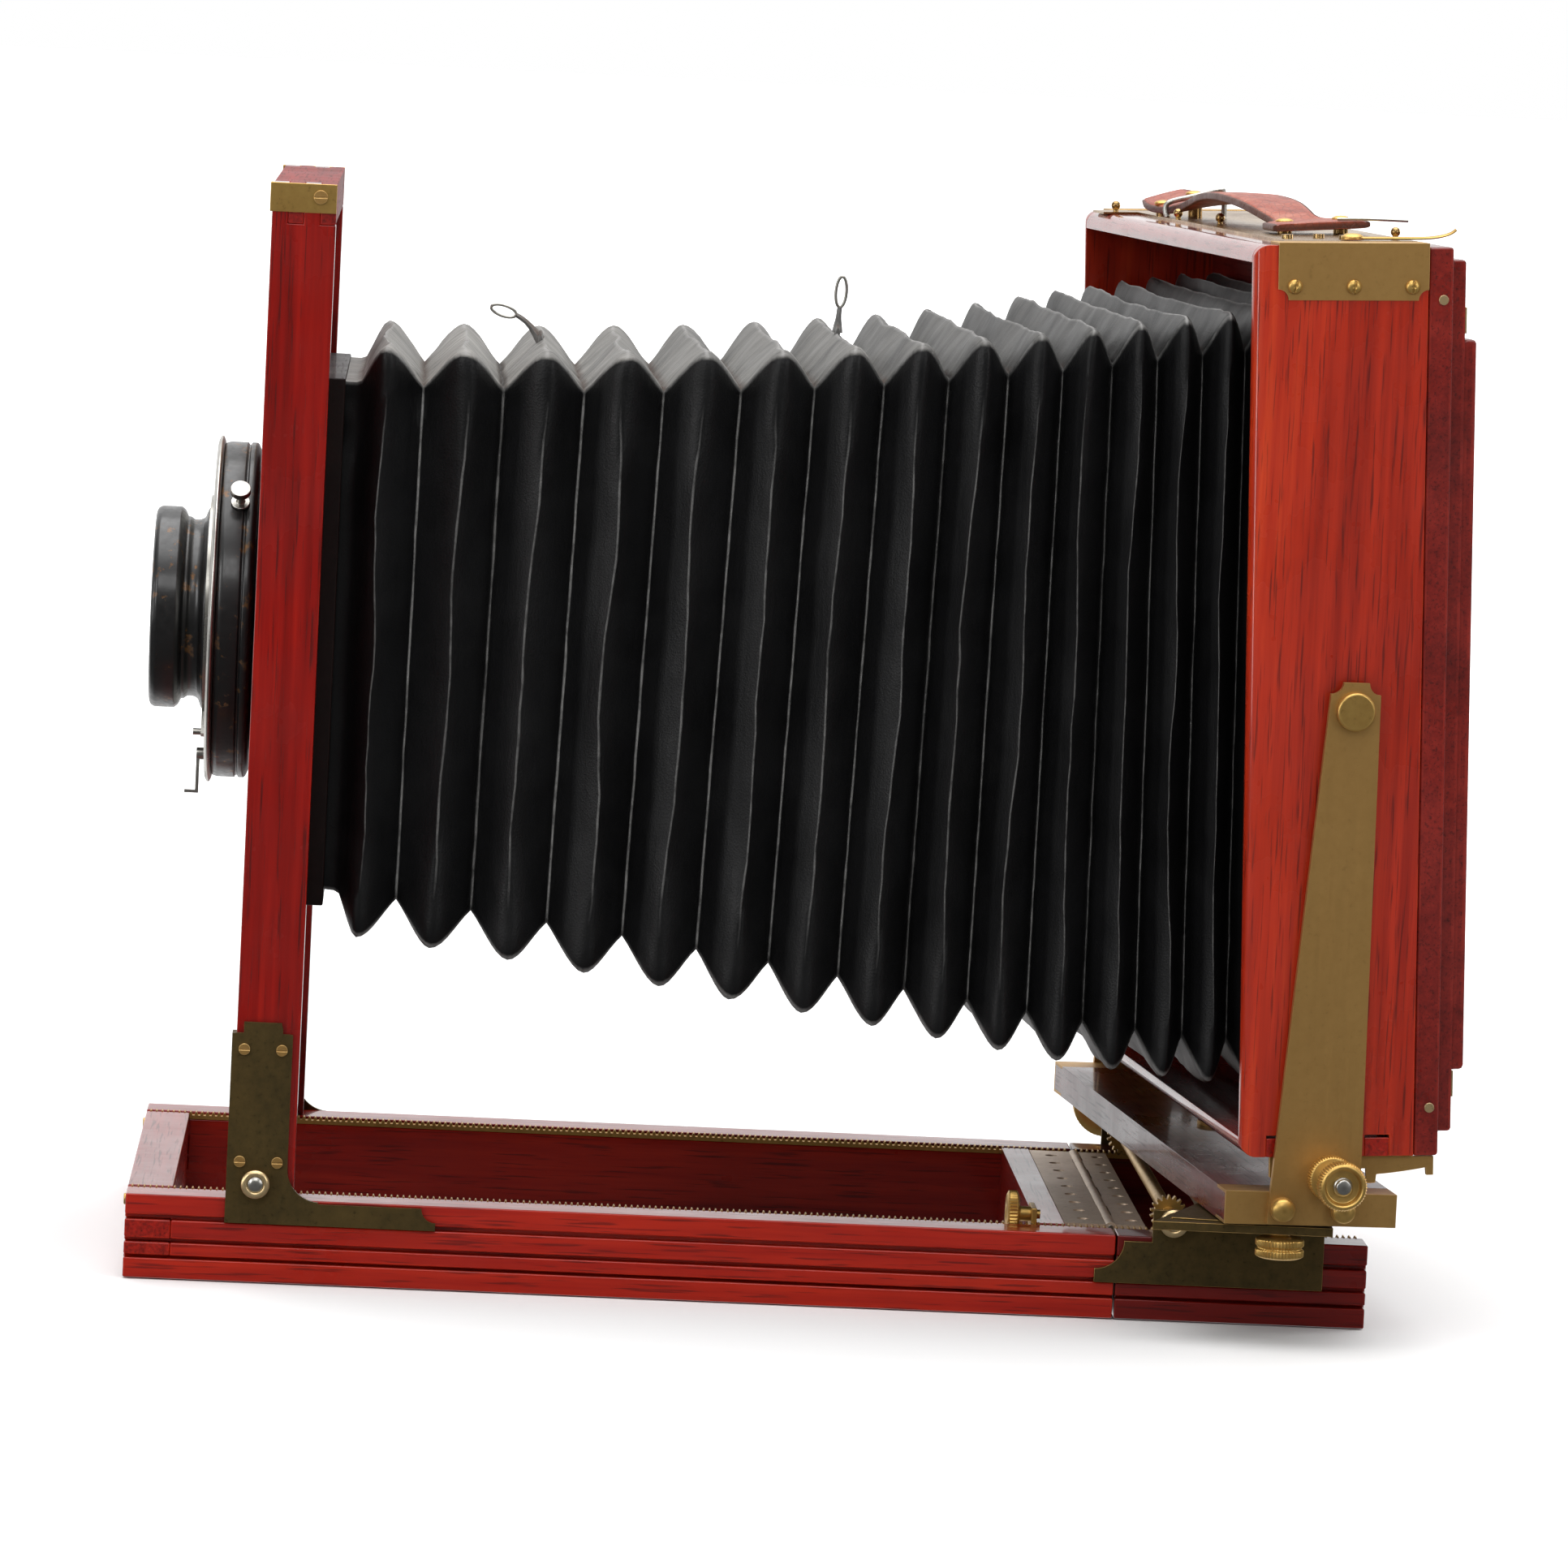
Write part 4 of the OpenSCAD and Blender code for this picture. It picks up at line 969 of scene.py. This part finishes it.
def lifting_loop(name, base, top, wire_to):
    """A leather tab sewn over a ridge, holding a wire oval."""
    bm = bmesh.new()
    path = [base + (top - base) * t + Vector((0, 0, 1.2 * sin(pi * t))) for t in (0, 0.2, 0.4, 0.6, 0.8, 1)]
    tube(bm, path, [4.6, 3.6, 2.6, 2.2, 2.2, 2.0], 12, flat=0.42)
    foot = [base + Vector((x, 0, 0)) + Vector((0, 0, 0.5 * cos(x / 4))) for x in (-6, -4, -2, 0, 2, 4, 6)]
    tube(bm, foot, [1.8, 2.6, 3, 3.2, 3, 2.6, 1.8], 10, flat=0.35)
    tab = placed(name + "_tab", bm, Matrix(), "bellows", 60)
    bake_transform(tab, "front_standard", "bed", start=LOOP_START, end=LOOP_END)
    bm = bmesh.new()
    middle_point = (top + wire_to) / 2
    way = (wire_to - top) / 2
    side = Vector((0, 1, 0))
    side = (side - way.normalized() * side.dot(way.normalized())).normalized() * OVAL_HALF_WIDTH
    angles = [2 * pi * k / OVAL_POINTS for k in range(OVAL_POINTS)]
    oval = [middle_point + way * cos(a) + side * sin(a) for a in angles]
    tube(bm, oval, WIRE_RADIUS, 10, closed=True)
    ring = placed(name + "_wire", bm, Matrix(), "nickel", 80)
    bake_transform(ring, "front_standard", "bed", start=LOOP_START, end=LOOP_END)


# Name, place in folds from the front, and how far the tab and the wire reach from the ridge
LIFTING_LOOPS = (
    ("front_lifting_loop", 2.5, (0, -9, 8.5), (0, -18, 11)),
    ("rear_lifting_loop", 6.5, (0, 0.5, 9), (0, 1, 20)),
)
for loop_name, fold, tab_to, wire_to in LIFTING_LOOPS:
    ridge = bellows_point(fold, 1, 0)[0]
    foot = Vector((0, ridge.y, ridge.z))
    lifting_loop(loop_name, foot, foot + Vector(tab_to), foot + Vector(wire_to))


# ---- handle strap ----
STRAP_T = 3
# Stations along the strap: x, then the front edge's y and height, then the rear edge's, above the case's top
STRAP_LINE = [
    (-105, -25, 6.6, -9.6, 10.6), (-98, -25.6, 5.6, -8, 10.4), (-88, -25.2, 4.8, -6.4, 10),
    (-75, -23, 4.6, -5.4, 9.4), (-65, -20, 5.6, -3, 9.2), (-50, -18, 8.6, 0.5, 9.6),
    (-30, -18, 11.2, 4, 10.8), (0, -18, 12.4, 6.6, 11.6), (30, -15.4, 10.8, 7, 10.6),
    (50, -11.4, 7.2, 6.5, 8.6), (60, -9.4, 5, 6.5, 7), (65, -11.5, 4.3, 9, 6),
    (69, -14.4, 4.4, 17.5, 5.8), (73, -15, 4.5, 19.4, 5.8), (80, -15, 4.5, 19.5, 5.9),
    (90, -15, 4.5, 19.5, 6),
]


def between(a, b, c, d, t):
    """A smooth value from b to c, with a before them and d after."""
    return 0.5 * (2 * b + (c - a) * t + (2 * a - 5 * b + 4 * c - d) * t * t + (3 * b - a - 3 * c + d) * t**3)


def along_line(stations, parts):
    """Smooth places along a list of stations of any number of values."""
    out = []
    for k in range(len(stations) - 1):
        four = [stations[max(0, min(len(stations) - 1, k + j))] for j in (-1, 0, 1, 2)]
        for s in range(parts):
            out.append([between(*values, s / parts) for values in zip(*four)])
    out.append(list(stations[-1]))
    return out


def strap():
    """The strap, with a groove along each dressed edge and thinned ends."""
    line = along_line(STRAP_LINE, 5)
    count = 56
    bm = bmesh.new()
    rim = bm.verts.layers.float.new("rim")
    rings = []
    for k, (x, front_y, front_z, rear_y, rear_z) in enumerate(line):
        before, after = line[max(0, k - 1)], line[min(len(line) - 1, k + 1)]
        front, rear = Vector((x, front_y, front_z)), Vector((x, rear_y, rear_z))
        climb = (after[2] + after[4] - before[2] - before[4]) / 2
        way = Vector((after[0] - before[0], 0, climb)).normalized()
        across = (rear - front) / 2
        up = way.cross(across.normalized())
        up = up if up.z > 0 else -up
        centre = (front + rear) / 2 - up * STRAP_T / 2
        from_end = min(k, len(line) - 1 - k)
        thin = 1 - 0.35 * (0.75, 0.25, 0.05)[from_end] if from_end < 3 else 1
        ring = []
        for j in range(count):
            angle = 2 * pi * j / count
            cy, cz = cos(angle), sin(angle)
            share = (abs(cy) ** 0.16) * (1 if cy > 0 else -1)
            high = (abs(cz) ** 0.4) * (1 if cz > 0 else -1)
            groove = 0.4 * max(0, 1 - abs(abs(share) - 0.9) / 0.035) if cz > 0 else 0
            swell = 0.3 * (1 - share * share) if cz > 0 else 0
            lift = (STRAP_T / 2 + swell) * high * thin - groove
            v = bm.verts.new(centre + across * share + up * lift)
            v[rim] = ease(abs(share), 0.87, 0.93)
            ring.append(v)
        rings.append(ring)
    for a, b in zip(rings, rings[1:]):
        for j in range(count):
            bm.faces.new((a[j], a[(j + 1) % count], b[(j + 1) % count], b[j]))
    bm.faces.new(rings[0][::-1])
    bm.faces.new(rings[-1])
    finish_piece(placed("handle_strap_leather", bm, ON_CASE, "strap", 60), "handle_strap", "strap_leather")


strap()

# Rivets of the strap, on the handle's posts: x, y and the height of the leather there
STRAP_RIVETS = ((76, -8, 4.9), (76, 12, 5.9), (-83, -21, 5.7), (-83, -9.4, 9.2))
rivet_outline = [(0, -1.2, 0), (2.6, -1.2, 0), (3.2, -0.2, 0.2), (3.2, 0.3, 0.3), (2, 1, 0.6), (0, 1.2, 0)]
for k, at in enumerate(STRAP_RIVETS):
    place = ON_CASE @ Matrix.Translation(at)
    turned("strap_rivet_%d" % k, "case_top_fittings", "brass", lathe(rivet_outline, 40), place, stands=False)


def bent_wire(name, path, radius, material, node):
    bm = bmesh.new()
    tube(bm, [Vector(p) for p in along_line(path, 6)], radius, 12)
    made = placed(name, bm, ON_CASE, material, 60)
    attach(made, body_of(node))


# The bent spring wire that the ground glass hooks under
spring_line = [(89, 8, 6.2), (89.6, 14, 6.3), (90, 20, 6.2), (90, 26, 6), (90, 33, 5.7)]
bent_wire("top_spring_wire", spring_line, 0.5, "nickel", "case_top_fittings")

# Back latch: a thin springy leaf with its tip curled up, on a domed pivot
LATCH_AT = (143, 2, 0)
bm = bmesh.new()
leaf = [
    (143, 0.5, 1.7), (143, 8, 1.7), (143, 16, 1.7), (143, 24, 1.7), (143.3, 29, 1.9),
    (143.9, 33, 2.5), (144.5, 36, 3.5), (144.9, 37.8, 4.8),
]
tube(bm, [Vector(p) for p in along_line(leaf, 6)], 2.5, 16, flat=0.22)
finish_piece(placed("back_latch_leaf", bm, ON_CASE, "brass", 60), "back_latch", "brass")
pivot_outline = [(0, 1.1, 0), (4, 1.1, 0.2), (4, 2.2, 0.4), (2.6, 3.2, 0.8), (0, 3.4, 0)]
pivot_place = ON_CASE @ Matrix.Translation(LATCH_AT)
turned("back_latch_pivot", "back_latch", "brass", lathe(pivot_outline, 48), pivot_place, stands=False)

# Metal keeper round the strap's far end
keeper_line = [
    (-68, -22.4, 1.2), (-68.6, -22.8, 4), (-68.6, -21.2, 6.6), (-68.6, -12, 8.8), (-68.6, -3.4, 10.9),
    (-68.4, -1.2, 9.8), (-68, -1.2, 1.2),
]
bent_wire("strap_keeper", keeper_line, 1.0, "nickel", "case_top_fittings")


# ---- studio, in metres and watts ----
FLOOR_REACH, FLOOR_GAP = 30, 0.0005
GLOW, GLOW_FROM, GLOW_TO = 0.75, 0.5, 2.4
ROOM_LEVEL, CEILING_LEVEL = 0.1, 0.9


def floor_material():
    """Matt white, glowing softly far from the object so that it runs into the backdrop without an edge."""
    f = Shader("floor", Roughness=0.8, Base_Color=(0.9, 0.9, 0.9, 1))
    away = f.add("ShaderNodeVectorMath", {0: f.place.outputs["Object"]}, operation="LENGTH").outputs["Value"]
    rising = {0: away, 1: GLOW_FROM, 2: GLOW_TO, 3: 0.0, 4: GLOW}
    glow = f.add("ShaderNodeMapRange", rising, interpolation_type="SMOOTHSTEP")
    f.surface.inputs["Emission Color"].default_value = (1, 1, 1, 1)
    f.drive("Emission Strength", glow.outputs[0])
    return f.material


def make_floor():
    mesh = bpy.data.meshes.new("floor")
    corners = [(x * FLOOR_REACH, y * FLOOR_REACH, 0) for x, y in ((-1, -1), (1, -1), (1, 1), (-1, 1))]
    mesh.from_pydata(corners, [], [(0, 1, 2, 3)])
    mesh.materials.append(floor_material())
    floor = bpy.data.objects.new("floor", mesh)
    bpy.context.scene.collection.objects.link(floor)
    floor.location.z = cad_low.z - FLOOR_GAP
    floor.visible_glossy = False


def softbox(name, at, aim, size, power):
    """A rectangular light that faces a place."""
    data = bpy.data.lights.new(name, "AREA")
    data.shape, data.energy = "RECTANGLE", power
    data.size, data.size_y = size
    light = bpy.data.objects.new(name, data)
    bpy.context.scene.collection.objects.link(light)
    light.location = at
    light.rotation_euler = (Vector(aim) - Vector(at)).to_track_quat("-Z", "Y").to_euler()


def sun(name, strength, spread):
    """Soft light straight down, so the floor stays as white far off as it is near."""
    data = bpy.data.lights.new(name, "SUN")
    data.energy, data.angle = strength, radians(spread)
    bpy.context.scene.collection.objects.link(bpy.data.objects.new(name, data))


def make_world():
    """A white backdrop behind the object and a bright ceiling, with the room behind the camera left dark."""
    world = bpy.data.worlds.new("studio")
    bpy.context.scene.world = world
    world.use_nodes = True
    tree = world.node_tree

    def add(kind, inputs=(), **settings):
        return add_node(tree, kind, inputs, **settings)

    def rise(value, start, end, level):
        span = {0: value, 1: start, 2: end, 3: 0.0, 4: level}
        return add("ShaderNodeMapRange", span, interpolation_type="SMOOTHSTEP").outputs[0]

    way = add("ShaderNodeSeparateXYZ", {0: add("ShaderNodeTexCoord").outputs["Generated"]})
    backdrop = rise(way.outputs[0], -0.2, -0.75, 1.0)
    ceiling = rise(way.outputs[2], 0.45, 0.95, CEILING_LEVEL)
    brighter = add("ShaderNodeMath", {0: backdrop, 1: ceiling}, operation="MAXIMUM")
    room = add("ShaderNodeMath", {0: brighter.outputs[0], 1: ROOM_LEVEL}, operation="MAXIMUM")
    seen = add("ShaderNodeLightPath").outputs["Is Camera Ray"]
    shown = add("ShaderNodeMix", {0: seen, 2: room.outputs[0], 3: 1.0}, data_type="FLOAT")
    tree.links.new(shown.outputs[0], tree.nodes["Background"].inputs[0])


make_floor()
make_world()
# Name, place, the place it faces, width and height, power
SOFTBOXES = (
    ("overhead", (-0.2, -0.15, 2.4), (0, -0.15, 0.2), (2.6, 2.6), 36),
    ("front_key", (2.3, -2.5, 1.3), (0, -0.15, 0.22), (0.8, 1.5), 21),
    ("rear_key", (2.3, 2.3, 1.3), (0, -0.1, 0.22), (0.8, 1.5), 15),
    ("camera_side", (2.6, -0.3, 1.9), (0, -0.1, 0.2), (1.4, 0.8), 13),
    ("front_edge", (0.9, -3.4, 0.55), (0, -0.1, 0.22), (0.5, 1.6), 16),
    ("rear_fill", (-1.4, 2.8, 1.2), (0, 0, 0.2), (1.2, 1.2), 20),
)
for box in SOFTBOXES:
    softbox(*box)
sun("skylight", 1.1, 70)
bpy.context.scene.view_settings.view_transform = "Standard"
